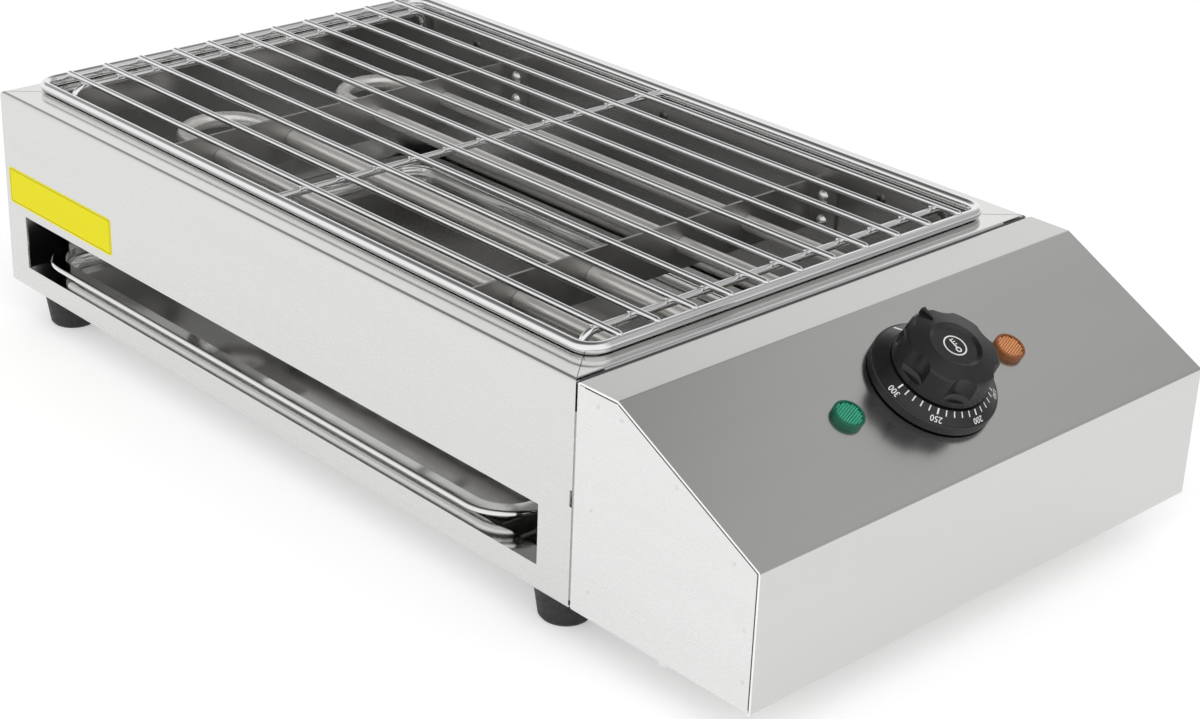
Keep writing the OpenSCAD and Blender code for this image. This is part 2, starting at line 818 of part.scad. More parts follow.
// Cross bars under the long bars; the outer two turn down into the well to locate the grate
module grate_cross_bars() {
    leg_reach = well_x - locating_gap - cross_d / 2;
    color(polished) placed() {
        translate([-rim_w / 2, (rim_y0 + rim_y1) / 2 + mid_bar_shift, cross_z]) rotate([0, 90, 0])
            cylinder(d = cross_d, h = rim_w, $fn = small_fn);
        for (y = [rim_y0 + cross_inset, rim_y1 - cross_inset]) translate([0, y, cross_z]) {
            translate([-leg_reach + cross_leg_r, 0, 0]) rotate([0, 90, 0])
                cylinder(d = cross_d, h = 2 * (leg_reach - cross_leg_r), $fn = small_fn);
            for (s = [-1, 1]) {
                translate([s * (leg_reach - cross_leg_r), 0, -cross_leg_r])
                    rotate([90, 0, s > 0 ? 0 : 180]) rotate_extrude(angle = 90, $fn = round_fn)
                        translate([cross_leg_r, 0]) circle(d = cross_d, $fn = small_fn);
                translate([s * leg_reach, 0, -cross_leg_r - cross_leg_l])
                    cylinder(d = cross_d, h = cross_leg_l, $fn = small_fn);
            }
        }
    }
}

// Hairpin element: two straight legs and a half-round bend at the back
module element(x) {
    color(steel) placed() translate([x, 0, element_z]) {
        for (s = [-1, 1]) translate([s * leg_pitch / 2, tube_end_y, 0]) rotate([-90, 0, 0])
            cylinder(d = tube_d, h = tube_bend_y - tube_end_y, $fn = small_fn);
        translate([0, tube_bend_y, 0]) rotate_extrude(angle = 180, $fn = round_fn)
            translate([leg_pitch / 2, 0]) circle(d = tube_d, $fn = small_fn);
    }
}

module element_left() {
    element(-element_pitch / 2);
}

module element_right() {
    element(element_pitch / 2);
}

// Upright strip with holes for the tubes and a screwed tab at each end
module element_strip(y) {
    color(steel) placed() difference() {
        union() {
            translate([-well_x, y, strip_top_z - strip_h]) cube([2 * well_x, strip_t, strip_h]);
            for (s = [-1, 1])
                translate([s > 0 ? well_x - strip_t : -well_x, y - strip_tab_l, strip_top_z - strip_h])
                    cube([strip_t, strip_tab_l + strip_t, strip_h]);
        }
        element_holes(y, strip_t);
        for (s = [-1, 1], z = strip_screw_z)
            translate([s * (well_x - strip_t / 2), y - strip_screw_back, z]) rotate([0, 90, 0])
                cylinder(d = strip_screw_d + 2 * hole_gap, h = strip_t + 2 * cut, center = true,
                    $fn = small_fn);
    }
}

module element_strip_front() {
    element_strip(strip_y[0]);
}

module element_strip_back() {
    element_strip(strip_y[1]);
}

module strip_screws() {
    color(polished) placed()
        for (s = [-1, 1], y = strip_y, z = strip_screw_z)
            translate([s * (well_x - strip_t), y - strip_screw_back, z]) rotate([0, -90 * s, 0]) {
                rotate_extrude($fn = small_fn) intersection() {
                    translate([0, -dome_r(strip_head_d, strip_head_h) + strip_head_h])
                        circle(r = dome_r(strip_head_d, strip_head_h), $fn = dome_fn);
                    square([strip_head_d, strip_head_h]);
                }
                translate([0, 0, -strip_t - sheet_t - strip_screw_end])
                    cylinder(d = strip_screw_d, h = strip_t + sheet_t + strip_screw_end, $fn = small_fn);
                translate([0, 0, -strip_t - sheet_t - strip_nut_h])
                    cylinder(d = strip_nut_d, h = strip_nut_h, $fn = 6);
            }
}

// Radius of the sphere cap with a given base diameter and height
function dome_r(d, h) = (d * d / 4 + h * h) / (2 * h);

module element_insulators() {
    color(ceramic) placed() for (x = leg_x) translate([x, tube_end_y - insulator_l, element_z])
        rotate([-90, 0, 0]) difference() {
            cylinder(d = tube_d, h = insulator_l, $fn = small_fn);
            translate([0, 0, -cut]) cylinder(d = stud_d, h = insulator_l + 2 * cut, $fn = small_fn);
        }
}

module element_studs() {
    color(steel) placed() for (x = leg_x) translate([x, tube_end_y - insulator_l - stud_l, element_z])
        rotate([-90, 0, 0]) {
            cylinder(d = stud_d, h = stud_l + insulator_l, $fn = small_fn);
            translate([0, 0, stud_nut_y]) cylinder(d = stud_nut_d, h = stud_nut_h, $fn = 6);
        }
}

// Brass collars with nuts that clamp each element leg on the bulkhead
module element_nuts() {
    color(brass) placed() for (x = leg_x) translate([x, ctrl_l - collar_h, element_z]) rotate([-90, 0, 0])
        difference() {
            cylinder(d = collar_d, h = collar_h, $fn = 6);
            translate([0, 0, -cut]) cylinder(d = tube_d, h = collar_h + 2 * cut, $fn = small_fn);
        }
}

// Shallow pan with a rolled rim, swept as one wall profile round the tray
module drip_tray() {
    module wall_profile() {
        // Bottom radius
        translate([-tray_rim_w - tray_foot_r, tray_foot_r]) intersection() {
            difference() {
                circle(r = tray_foot_r, $fn = round_fn);
                circle(r = tray_foot_r - tray_t, $fn = round_fn);
            }
            translate([0, -tray_foot_r]) square(tray_foot_r);
        }
        // Wall and flat rim
        translate([-tray_rim_w - tray_t, tray_foot_r]) square([tray_t, tray_depth - tray_foot_r]);
        translate([-tray_rim_w - tray_t, tray_depth - tray_t])
            square([tray_rim_w + tray_t - tray_curl_r, tray_t]);
        // Curl
        translate([-tray_curl_r, tray_depth - tray_curl_r]) difference() {
            circle(r = tray_curl_r, $fn = small_fn);
            circle(r = tray_curl_r - tray_t, $fn = small_fn);
            translate([-2 * tray_curl_r, -2 * tray_curl_r]) square(2 * tray_curl_r);
        }
    }
    color(polished) placed() translate([tray_x, (tray_y0 + tray_y1) / 2, tray_z]) {
        around_rect(tray_w, tray_l, tray_corner_r) wall_profile();
        linear_extrude(tray_t) round_rect(tray_w - 2 * (tray_rim_w + tray_foot_r),
            tray_l - 2 * (tray_rim_w + tray_foot_r), tray_corner_r - tray_rim_w - tray_foot_r);
    }
}

// Folded rails on the base plate that carry the ends of the tray
module tray_rail(y) {
    x0 = -half_w + sheet_t + sill_shelf_w + rail_side_gap;
    color(steel_dark) placed() along_x(x0, well_x - rail_side_gap)
        translate([y, 0]) folded([
            [0, floor_z], [rail_w, floor_z], [rail_w, sill_h], [0, sill_h],
        ]);
}

module tray_rail_front() {
    tray_rail(tray_y0 + tray_rim_w + tray_foot_r);
}

module tray_rail_back() {
    tray_rail(tray_y1 - tray_rim_w - tray_foot_r - rail_w);
}

// Side outline of the control box, inset from the cover's outer face
module box_outline(inset) {
    path = offset_path([for (i = [1:4]) cover_path[i]], inset);
    polygon(concat([[ctrl_l - ctrl_gap, 0], [ctrl_l - ctrl_gap, path[0][1]]],
        [path[1], path[2]], [[path[2][0], 0]]));
}

module control_cover() {
    color(steel) placed() difference() {
        union() {
            difference() {
                along_x(-half_w, half_w) folded(cover_path);
                // The bottom return and the rear lip stop short of the end plates
                for (s = [-1, 1]) {
                    translate([s * half_w - flange_bottom_w - sheet_gap, sheet_t + sheet_gap, -cut])
                        cube([2 * (flange_bottom_w + sheet_gap), cover_return_w, bend_r + cut]);
                    translate([s * half_w - sheet_t - sheet_gap, ctrl_l - 2 * weld_tab_w,
                            body_h - 2 * weld_tab_w])
                        cube([2 * (sheet_t + sheet_gap), 2 * weld_tab_w,
                            2 * weld_tab_w - sheet_t - sheet_gap]);
                }
            }
            // Weld tabs along the slope and the front
            for (s = [-1, 1]) along_x(s * (half_w - 1.5 * sheet_t - sheet_gap / 2) - sheet_t / 2,
                    s * (half_w - 1.5 * sheet_t - sheet_gap / 2) + sheet_t / 2)
                intersection() {
                    difference() {
                        box_outline(sheet_t / 2);
                        box_outline(sheet_t / 2 + weld_tab_w);
                    }
                    translate([0, 2 * bend_r]) square([ctrl_l - weld_tab_w - 3 * sheet_t, body_h]);
                }
        }
        on_slope(0) translate([0, 0, -4 * sheet_t])
            cylinder(d = spindle_hole_d, h = 8 * sheet_t, $fn = round_fn);
        base_screw_places() translate([0, 0, -cut])
            cylinder(d = base_screw_d + 2 * hole_gap, h = sheet_t + 2 * cut, $fn = small_fn);
        for (s = [-1, 1]) {
            on_slope(s * lamp_x) translate([0, 0, -4 * sheet_t])
                cylinder(d = lens_hole_d, h = 8 * sheet_t, $fn = round_fn);
            on_slope(s * thermostat_pitch / 2) translate([0, 0, -4 * sheet_t])
                cylinder(d = thermostat_screw_d + 2 * hole_gap, h = 8 * sheet_t, $fn = small_fn);
        }
    }
}

// End plate under the cover's edge, with a bottom flange for the base
module control_end_plate() {
    intersection() {
        along_y(0, ctrl_l - ctrl_gap - sheet_gap)
            mirror([1, 0]) folded([
                [half_w - flange_bottom_w, 0], [half_w, 0], [half_w, body_h],
            ]);
        along_x(-half_w - cut, -half_w + flange_bottom_w + cut)
            box_outline(sheet_t + sheet_gap);
    }
}

module control_left_plate() {
    color(steel) placed() difference() {
        control_end_plate();
        base_screw_places() translate([0, 0, -cut])
            cylinder(d = base_screw_d + 2 * hole_gap, h = sheet_t + 2 * cut, $fn = small_fn);
    }
}

module control_right_plate() {
    color(steel) placed() difference() {
        mirror([1, 0, 0]) control_end_plate();
        base_screw_places() translate([0, 0, -cut])
            cylinder(d = base_screw_d + 2 * hole_gap, h = sheet_t + 2 * cut, $fn = small_fn);
        translate([half_w - sheet_t - cut, entry_y, entry_z]) rotate([0, 90, 0])
            cylinder(d = bush_d, h = sheet_t + 2 * cut, $fn = round_fn);
    }
}

module base_screw_places() {
    for (p = base_screw_xy) translate([p[0], p[1], 0]) children();
}

module control_base() {
    edge = bend_r + sheet_t;
    color(steel_dark) placed() difference() {
        translate([-half_w + edge, edge, sheet_t])
            cube([body_w - 2 * edge, ctrl_l - 2 * edge, sheet_t]);
        base_screw_places() cylinder(d = base_screw_d, h = floor_z + cut, $fn = small_fn);
        for (i = [0:vent_n - 1]) translate([-half_w + vent_side_margin + i * vent_pitch, vent_y, 0])
            cube([vent_w, vent_l, floor_z + cut]);
        translate([earth_pos[0], earth_pos[1], 0]) cylinder(d = earth_d, h = floor_z + cut, $fn = small_fn);
    }
}

// Screws under the control box, through the flanges into the base
module control_base_screws() {
    color(polished) placed() base_screw_places() {
        translate([0, 0, -base_screw_head_h])
            cylinder(d1 = base_screw_head_d - 2, d2 = base_screw_head_d, h = base_screw_head_h,
                $fn = small_fn);
        cylinder(d = base_screw_d, h = floor_z + base_screw_end, $fn = small_fn);
    }
}

// Dial skirt: a hollow ring whose conical face carries the scale
module dial_skirt() {
    color(charcoal) placed() on_slope(0) rotate_extrude($fn = round_fn) difference() {
        union() {
            polygon([
                [neck_d / 2, knob_gap], [neck_d / 2, skirt_top_z],
                [grip_foot_d / 2 + skirt_land_w, skirt_top_z],
                [skirt_d / 2 - skirt_edge_r, skirt_top_z - skirt_fall],
                [skirt_d / 2, skirt_top_z - skirt_fall - skirt_edge_r], [skirt_d / 2, knob_gap],
            ]);
            translate([skirt_d / 2 - skirt_edge_r, skirt_top_z - skirt_fall - skirt_edge_r])
                circle(r = skirt_edge_r, $fn = small_fn);
        }
        polygon([
            [0, knob_gap - cut], [skirt_d / 2 - skirt_wall, knob_gap - cut],
            [skirt_d / 2 - skirt_wall, skirt_top_z - skirt_fall - skirt_wall],
            [neck_d / 2, skirt_top_z - skirt_wall], [0, skirt_top_z - skirt_wall],
        ]);
    }
}

// Finger flute with a rounded foot
module flute_cutter() {
    rotate_extrude($fn = round_fn) {
        square([flute_r - flute_fillet, grip_h]);
        translate([0, flute_fillet]) square([flute_r, grip_h]);
        translate([flute_r - flute_fillet, flute_fillet]) circle(r = flute_fillet, $fn = small_fn);
    }
}

module knob_grip() {
    color(charcoal) placed() on_slope(0) difference() {
        union() {
            rotate_extrude($fn = round_fn) polygon([
                [0, skirt_top_z - skirt_wall], [neck_d / 2, skirt_top_z - skirt_wall],
                [neck_d / 2, skirt_top_z + grip_gap], [grip_foot_d / 2, skirt_top_z + grip_gap],
                [grip_d / 2, grip_top_z - grip_edge_drop], [grip_d / 2 - 1, grip_top_z - grip_edge_drop + 1],
                [recess_d / 2 + recess_slope, grip_top_z], [recess_d / 2, grip_top_z - recess_depth],
                [0, grip_top_z - recess_depth],
            ]);
            // Pointer ridge at twelve o'clock
            translate([0, 0, grip_top_z - grip_edge_drop - cut]) linear_extrude(grip_edge_drop + cut)
                polygon([
                    [-pointer_w / 2, grip_d / 2], [pointer_w / 2, grip_d / 2], [0, grip_d / 2 - pointer_l],
                ]);
        }
        for (i = [0:flute_n - 1]) rotate([0, 0, 90 + (i + 0.5) * 360 / flute_n])
            translate([grip_d / 2 + flute_r - flute_depth, 0, skirt_top_z + flute_base_h])
                flute_cutter();
        translate([0, 0, grip_top_z - recess_depth - insert_h])
            cylinder(d = insert_d, h = insert_h + cut, $fn = round_fn);
        spindle_shape(spindle_out_l);
    }
}

module knob_insert() {
    color(charcoal) placed() on_slope(0) translate([0, 0, grip_top_z - recess_depth - insert_h])
        cylinder(d = insert_d, h = insert_h, $fn = round_fn);
}

// Flatted upper end of the spindle
module spindle_shape(h) {
    linear_extrude(h) intersection() {
        circle(d = spindle_d, $fn = small_fn);
        translate([-spindle_d, -spindle_d]) square([2 * spindle_d, 1.75 * spindle_d]);
    }
}

module knob_spindle() {
    color(steel) placed() on_slope(0) {
        spindle_shape(spindle_out_l);
        translate([0, 0, thermostat_top_z - spindle_in_l])
            cylinder(d = spindle_d, h = -thermostat_top_z + spindle_in_l, $fn = small_fn);
    }
}

module thermostat_body() {
    color(ceramic) placed() on_slope(0) difference() {
        translate([-thermostat_w / 2, -thermostat_w / 2, thermostat_top_z - thermostat_depth])
            cube([thermostat_w, thermostat_w, thermostat_depth]);
        translate([0, 0, thermostat_top_z - spindle_in_l - 1])
            cylinder(d = spindle_d + 2 * spindle_fit, h = spindle_in_l + 2, $fn = small_fn);
        for (s = [-1, 1])
            translate([s * thermostat_pitch / 2, 0, thermostat_top_z - thermostat_screw_l - cut])
                cylinder(d = thermostat_screw_d, h = thermostat_screw_l + 2 * cut, $fn = small_fn);
    }
}

// Bracket plate and threaded bush on the thermostat's nose
module thermostat_bush() {
    color(steel) placed() on_slope(0) difference() {
        union() {
            translate([-thermostat_w / 2, -thermostat_bracket_w / 2, thermostat_top_z])
                cube([thermostat_w, thermostat_bracket_w, thermostat_bracket_t]);
            translate([0, 0, thermostat_top_z]) cylinder(
                d = spindle_hole_d - 2 * hole_gap, h = thermostat_bush_h - thermostat_top_z, $fn = small_fn);
        }
        translate([0, 0, thermostat_top_z - cut]) cylinder(d = spindle_d + 2 * spindle_fit,
            h = thermostat_bush_h - thermostat_top_z + 2 * cut, $fn = small_fn);
        for (s = [-1, 1]) translate([s * thermostat_pitch / 2, 0, thermostat_top_z - cut]) cylinder(
            d = thermostat_screw_d + 2 * hole_gap, h = thermostat_bracket_t + 2 * cut, $fn = small_fn);
    }
}

module thermostat_screws() {
    color(polished) placed() for (s = [-1, 1]) on_slope(s * thermostat_pitch / 2) {
        cylinder(d1 = thermostat_head_d, d2 = thermostat_head_d - 1, h = thermostat_head_h, $fn = small_fn);
        translate([0, 0, thermostat_top_z - thermostat_screw_l]) cylinder(
            d = thermostat_screw_d, h = thermostat_screw_l - thermostat_top_z, $fn = small_fn);
    }
}

module thermostat_tabs() {
    color(brass) placed() on_slope(0) for (x = [-tab_x, tab_x], y = [-tab_y, tab_y])
        translate([x - tab_w / 2, y - tab_t / 2, thermostat_back_z - tab_l]) cube([tab_w, tab_t, tab_l]);
}

// Thin tube from the thermostat through the bulkhead to the sensing bulb
module capillary() {
    out = slope_point(0, 13, thermostat_back_z - wire_gap);
    route = [
        out, slope_point(0, 13, thermostat_back_z - 8), [-20, 82, 44], [capillary_x + 10, 94, 58],
        [capillary_x, 102, bulb_z], [capillary_x, ctrl_l, bulb_z], [capillary_x, well_front_y, bulb_z],
        [capillary_x + 6, bulb_y - 1, bulb_z], [bulb_x0 - 6, bulb_y, bulb_z],
        [bulb_x0 - wire_gap, bulb_y, bulb_z],
    ];
    color(brass) placed() wire(wire_path(route, 4), capillary_d);
}

// Case-frame place of a point given in the slope frame at x = 0
function slope_point(x, y, z) = [
    x,
    control_row_y + y * cos(slope_deg) - z * sin(slope_deg),
    cover_front_h + control_row_y * tan(slope_deg) + y * sin(slope_deg) + z * cos(slope_deg),
];

module sensing_bulb() {
    color(brass) placed() translate([bulb_x0, bulb_y, bulb_z]) rotate([0, 90, 0])
        rotate_extrude($fn = small_fn) polygon([
            [0, 0], [bulb_d / 2 - 1, 0], [bulb_d / 2, 1],
            [bulb_d / 2, bulb_l - 1], [bulb_d / 2 - 1, bulb_l], [0, bulb_l],
        ]);
}

// Clips that hold the bulb along the front liner wall, under the element legs
module bulb_clips() {
    color(steel) placed() for (s = [-1, 1]) translate([s * bulb_l / 4 - bulb_clip_w / 2, 0, 0]) {
        translate([0, bulb_y, bulb_z]) rotate([0, 90, 0]) difference() {
            cylinder(r = bulb_d / 2 + bulb_clip_t, h = bulb_clip_w, $fn = small_fn);
            translate([0, 0, -cut]) cylinder(r = bulb_d / 2, h = bulb_clip_w + 2 * cut, $fn = small_fn);
        }
        translate([0, well_front_y, bulb_z - bulb_clip_l]) cube([bulb_clip_w, bulb_clip_t, bulb_clip_l]);
    }
}

// Low round lens with a raised rim
module lamp_lens(x) {
    placed() on_slope(x) rotate_extrude($fn = round_fn) difference() {
        union() {
            square([lens_d / 2, lens_h - lens_edge_r]);
            square([lens_d / 2 - lens_edge_r, lens_h]);
            translate([lens_d / 2 - lens_edge_r, lens_h - lens_edge_r])
                circle(r = lens_edge_r, $fn = small_fn);
        }
        translate([0, lens_h - lens_rim_h]) square([lens_d / 2 - lens_edge_r - lens_rim_w, lens_h]);
    }
}

module lamp_lens_green() {
    color([0.12, 0.56, 0.40]) lamp_lens(-lamp_x);
}

module lamp_lens_orange() {
    color([0.85, 0.50, 0.28]) lamp_lens(lamp_x);
}

module lamp_bodies() {
    color([0.85, 0.85, 0.82]) placed() for (s = [-1, 1]) on_slope(s * lamp_x) {
        translate([0, 0, -lamp_body_l]) cylinder(d = lamp_body_d, h = lamp_body_l, $fn = small_fn);
        for (t = [-1, 1])
            translate([t * lamp_tail_x - tab_t / 2, -lamp_tail_w / 2, -lamp_body_l - lamp_tail_l])
                cube([tab_t, lamp_tail_w, lamp_tail_l]);
    }
}

module lamp_clips() {
    color(steel) placed() for (s = [-1, 1]) on_slope(s * lamp_x)
        translate([0, 0, -sheet_t - lamp_clip_t]) difference() {
            cylinder(d = lamp_clip_d, h = lamp_clip_t, $fn = 8);
            translate([0, 0, -cut]) cylinder(d = lamp_body_d, h = lamp_clip_t + 2 * cut, $fn = small_fn);
        }
}

module block_screw_places() {
    for (i = [0:block_poles - 1], s = [-1, 1])
        translate([block_pos[0] + (i - (block_poles - 1) / 2) * block_size[0] / block_poles,
            block_pos[1] + s * block_screw_dy, floor_z + block_size[2]]) children();
}

module terminal_block() {
    color(ceramic) placed() difference() {
        translate([block_pos[0] - block_size[0] / 2, block_pos[1] - block_size[1] / 2, floor_z])
            cube(block_size);
        block_screw_places() translate([0, 0, -block_well_h])
            cylinder(d = block_screw_d, h = block_well_h + cut, $fn = small_fn);
    }
}

module terminal_screws() {
    color(brass) placed() block_screw_places() translate([0, 0, -block_well_h]) difference() {
        cylinder(d = block_screw_d, h = block_screw_h, $fn = small_fn);
        translate([-block_screw_d, -screw_slot_w / 2, block_screw_h - screw_slot_w])
            cube([2 * block_screw_d, screw_slot_w, screw_slot_w + cut]);
    }
}

module earth_stud() {
    color(brass) placed() translate([earth_pos[0], earth_pos[1], 0]) {
        translate([0, 0, sheet_t - earth_head_h]) {
            cylinder(d = earth_nut_d, h = earth_head_h, $fn = 6);
            cylinder(d = earth_d, h = earth_top_z - sheet_t + earth_head_h, $fn = small_fn);
        }
        translate([0, 0, floor_z]) cylinder(d = earth_nut_d, h = earth_nut_h, $fn = 6);
    }
}

// Insulated wires between the terminal block, the thermostat, the element studs and earth
module wiring() {
    stud_y = tube_end_y - insulator_l - stud_l - wire_gap;
    block_y = block_pos[1] + block_size[1] / 2 + wire_gap;
    block_z = floor_z + block_size[2] / 2;
    pole = block_size[0] / block_poles;
    tab_z = thermostat_back_z - tab_l - wire_gap;
    routes = [
        [[block_pos[0], block_y, block_z], [block_pos[0], block_y + 6, block_z], [40, 66, 22],
            slope_point(tab_x, 14, tab_z - 10), slope_point(tab_x, tab_y, tab_z - 4),
            slope_point(tab_x, tab_y, tab_z)],
        [slope_point(-tab_x, tab_y, tab_z), slope_point(-tab_x, tab_y, tab_z - 4), [-14, 62, 34],
            [leg_x[1], stud_y - 14, element_z - 24], [leg_x[1], stud_y - 5, element_z],
            [leg_x[1], stud_y, element_z]],
        [[leg_x[1], stud_y, element_z], [leg_x[1], stud_y - 5, element_z],
            [leg_x[1] - 12, stud_y - 8, element_z - 14], [leg_x[0] + 14, stud_y - 8, element_z - 16],
            [leg_x[0], stud_y - 5, element_z], [leg_x[0], stud_y, element_z]],
        [[block_pos[0] - pole, block_y, block_z], [block_pos[0] - pole, block_y + 6, block_z], [46, 70, 40],
            [leg_x[2] + 2, stud_y - 10, element_z - 20], [leg_x[2], stud_y - 5, element_z],
            [leg_x[2], stud_y, element_z]],
        [[leg_x[2], stud_y, element_z], [leg_x[2], stud_y - 5, element_z],
            [leg_x[2] + 12, stud_y - 6, element_z - 14], [leg_x[3] - 14, stud_y - 6, element_z - 16],
            [leg_x[3], stud_y - 5, element_z], [leg_x[3], stud_y, element_z]],
        [[block_pos[0] + pole, block_y, block_z], [block_pos[0] + pole, block_y + 4, block_z],
            [earth_pos[0] - 4, earth_pos[1] - 2, earth_top_z + 8],
            [earth_pos[0], earth_pos[1], earth_top_z + 5],
            [earth_pos[0], earth_pos[1], earth_top_z + wire_gap]],
    ];
    color([0.75, 0.18, 0.14]) placed() for (r = routes) wire(wire_path(r, 4), wire_d);
}

// Strain-relief bush with its bore for the mains cord
module cord_bush() {
    color(rubber) placed() translate([half_w, entry_y, entry_z]) rotate([0, 90, 0]) difference() {
        union() {
            translate([0, 0, -bush_inner_l]) cylinder(d = bush_d, h = bush_inner_l, $fn = round_fn);
            cylinder(d = bush_flange_d, h = bush_flange_t, $fn = round_fn);
            translate([0, 0, bush_flange_t]) cylinder(d1 = bush_d, d2 = cord_bore_d + 2 * bush_tip_wall,
                h = bush_proud - bush_flange_t, $fn = round_fn);
        }
        translate([0, 0, -bush_inner_l - cut])
            cylinder(d = cord_bore_d, h = bush_inner_l + bush_proud + 2 * cut, $fn = round_fn);
    }
}

module cord_bush_nut() {
    color(rubber) placed() translate([half_w - sheet_t - bush_nut_t, entry_y, entry_z])
        rotate([0, 90, 0]) difference() {
            cylinder(d = bush_flange_d, h = bush_nut_t, $fn = 6);
            translate([0, 0, -cut]) cylinder(d = bush_d, h = bush_nut_t + 2 * cut, $fn = round_fn);
    }
}

module side_label() {
    color([0.97, 0.93, 0.16]) placed()
        translate([0, body_l - label_back_margin - label_l / 2, label_z + label_h / 2])
            along_x(-half_w - label_t, -half_w) round_rect(label_l, label_h, label_r);
}

left_side_panel();
right_side_panel();
back_panel();
front_bulkhead();
base_plate();
liner_left();
liner_right();
liner_back();
liner_front();
liner_brackets();
liner_rivets();
foot_front_left();
foot_front_right();
foot_back_left();
foot_back_right();
foot_screws();
grate_rim();
grate_bars();
grate_cross_bars();
element_left();
element_right();
element_strip_front();
element_strip_back();
strip_screws();
element_insulators();
element_studs();
element_nuts();
drip_tray();
tray_rail_front();
tray_rail_back();
control_cover();
control_left_plate();
control_right_plate();
control_base();
control_base_screws();
dial_skirt();
knob_grip();
knob_insert();
knob_spindle();
thermostat_body();
thermostat_bush();
thermostat_screws();
thermostat_tabs();
capillary();
sensing_bulb();
bulb_clips();
lamp_lens_green();
lamp_lens_orange();
lamp_bodies();
lamp_clips();
terminal_block();
terminal_screws();
earth_stud();
wiring();
cord_bush();
cord_bush_nut();
side_label();
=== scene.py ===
# Looks of the electric countertop grill: steel finishes, dial, lamps, welds and studio.
# Lengths in millimetres are named after what they measure and turned into metres by MM.
import json
import math

import bmesh
import bpy
from mathutils import Matrix, Vector

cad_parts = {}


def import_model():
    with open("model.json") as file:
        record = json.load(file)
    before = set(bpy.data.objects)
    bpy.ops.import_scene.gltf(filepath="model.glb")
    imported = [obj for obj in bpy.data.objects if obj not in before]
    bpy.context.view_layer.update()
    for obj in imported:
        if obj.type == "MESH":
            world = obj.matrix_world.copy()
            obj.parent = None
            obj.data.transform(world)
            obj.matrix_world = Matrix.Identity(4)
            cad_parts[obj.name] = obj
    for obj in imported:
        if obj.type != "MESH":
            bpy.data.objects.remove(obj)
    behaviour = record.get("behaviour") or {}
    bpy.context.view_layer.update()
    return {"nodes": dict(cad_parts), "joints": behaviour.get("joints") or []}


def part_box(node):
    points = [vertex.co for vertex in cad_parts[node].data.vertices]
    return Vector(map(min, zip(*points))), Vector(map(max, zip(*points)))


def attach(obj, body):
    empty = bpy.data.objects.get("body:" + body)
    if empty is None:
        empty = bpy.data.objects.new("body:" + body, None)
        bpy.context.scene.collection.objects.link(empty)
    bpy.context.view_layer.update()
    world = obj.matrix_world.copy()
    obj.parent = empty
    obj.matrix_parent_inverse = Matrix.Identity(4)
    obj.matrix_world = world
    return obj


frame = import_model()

MM = 0.001
X_AXIS = Vector((1, 0, 0))
Z_AXIS = Vector((0, 0, 1))

# Case
CASE_W = 300
CASE_L = 568
CASE_H = 110
CTRL_L = 109
FLANGE_SIDE_W = 25
FLANGE_END_W = 21

# Faces that get a finish of their own
FLAT = 0.99  # least length of a unit normal along an axis that counts as facing it
EDGE_DEPTH = 0.1
# Depth above the tray's bottom whose upward faces get painted shade
TRAY_FLOOR_DEPTH = 2

SMOOTH_DEG = 32
WELD_SMOOTH_DEG = 60

# Cone of the dial, and the marks on it
CONE_R = 23.8
CONE_Z = 9.0
CONE_DEG = 32.3
MARK_T = 0.06
TICK_R0 = 23.9
TICK_R1 = 26.2
TICK_W = 0.55
MAJOR_TICK_W = 0.75
TICK_STEP = 10
INDEX_R1 = 28.8
INDEX_W = 1.2
DIGIT_R = 28.0
DIGIT_SIZE = 3.9
DIGIT_BOLD = 0.02
DIGIT_ARC_STEPS = 3
SCALE_VALUES = range(50, 301, 50)
SCALE_STEP_DEG = 45
INDEX_DEG = 90

# Icon in the recess of the grip: a ring, and a thermometer with its bulb, stem and degrees
ICON_Z = 24.8
ICON_R = 5.65
ICON_LINE = 0.65
BULB_Y = -2.4
BULB_R = 1.5
BULB_HOLE_R = 0.85
STEM_Y = 1.4
STEM_SIZE = (0.75, 4.8)
DEGREE_X = 1.25
DEGREE_YS = (0.6, 2.0, 3.4)
DEGREE_SIZE = (1.1, 0.5)

# Cells inside the lamp lenses
LAMP_X = 54.5
LENS_FLOOR_Z = 2.4
WAFFLE_R = 6.35
WAFFLE_PITCH = 1.15
WAFFLE_TURN_DEG = 20
CELL_HALF = 0.36 * WAFFLE_PITCH
CELL_SINK = 0.2
CELL_WALL_H = 0.08
CELL_H = 0.45

# Grate
BAR_N = 11
BAR_D = 3.3
RIM_D = 5.6
CROSS_D = 4
CROSS_INSET = 17
MID_BAR_SHIFT = 6
BEAD_R = 1.5
BEAD_OFFSET = 0.36 * CROSS_D
BEAD_STRETCH = (1.15, 0.7, 0.6)

# Spot welds on the end plates of the control box, as (y, z) in the case frame
SPOT_WELDS = [
    (95, 103), (81, 102), (48, 85), (14, 65), (6.5, 38), (5.5, 14), (97, 54), (97, 14),
]
SPOT_R = 1.1
SPOT_H = 0.12

# Cover, and the painted shade along its joint with the end plates
COVER_GAP = 1
COVER_TOP_W = 24.6
SLOPE_DROP = 43.2
SEAM_BACK_IN = 4
SEAM_FOOT_Z = 2
SEAM_IN = 1.35
SEAM_W = 0.6
SEAM_T = 0.06

# Painted shade in the gap behind the cover, and dark lines on the mitres of the top flange
GAP_DEPTH = 0.7
GAP_END_IN = 2
GAP_W = 1.9
GAP_T = 0.1
MITRE_IN = 2.5
MITRE_W = 0.3
MITRE_T = 0.04

# Label
LABEL_LINE_IN = 1.1
LABEL_LINE_W = 0.4
LABEL_LINE_COLOR = (0.42, 0.37, 0.02)

# Camera fitted to the case edges, with its place in the case frame
CAM_PLACE = (-763.2, -541.3, 538.3)
CAM_AZIMUTH_DEG = -43.93
CAM_ELEVATION_DEG = 25.09
CAM_ROLL_DEG = 2.29
CAM_FOCAL_PX = 2401.1
CAM_CLIP_M = (0.05, 60)
PHOTO_W_PX = 1200
SENSOR_W = 36

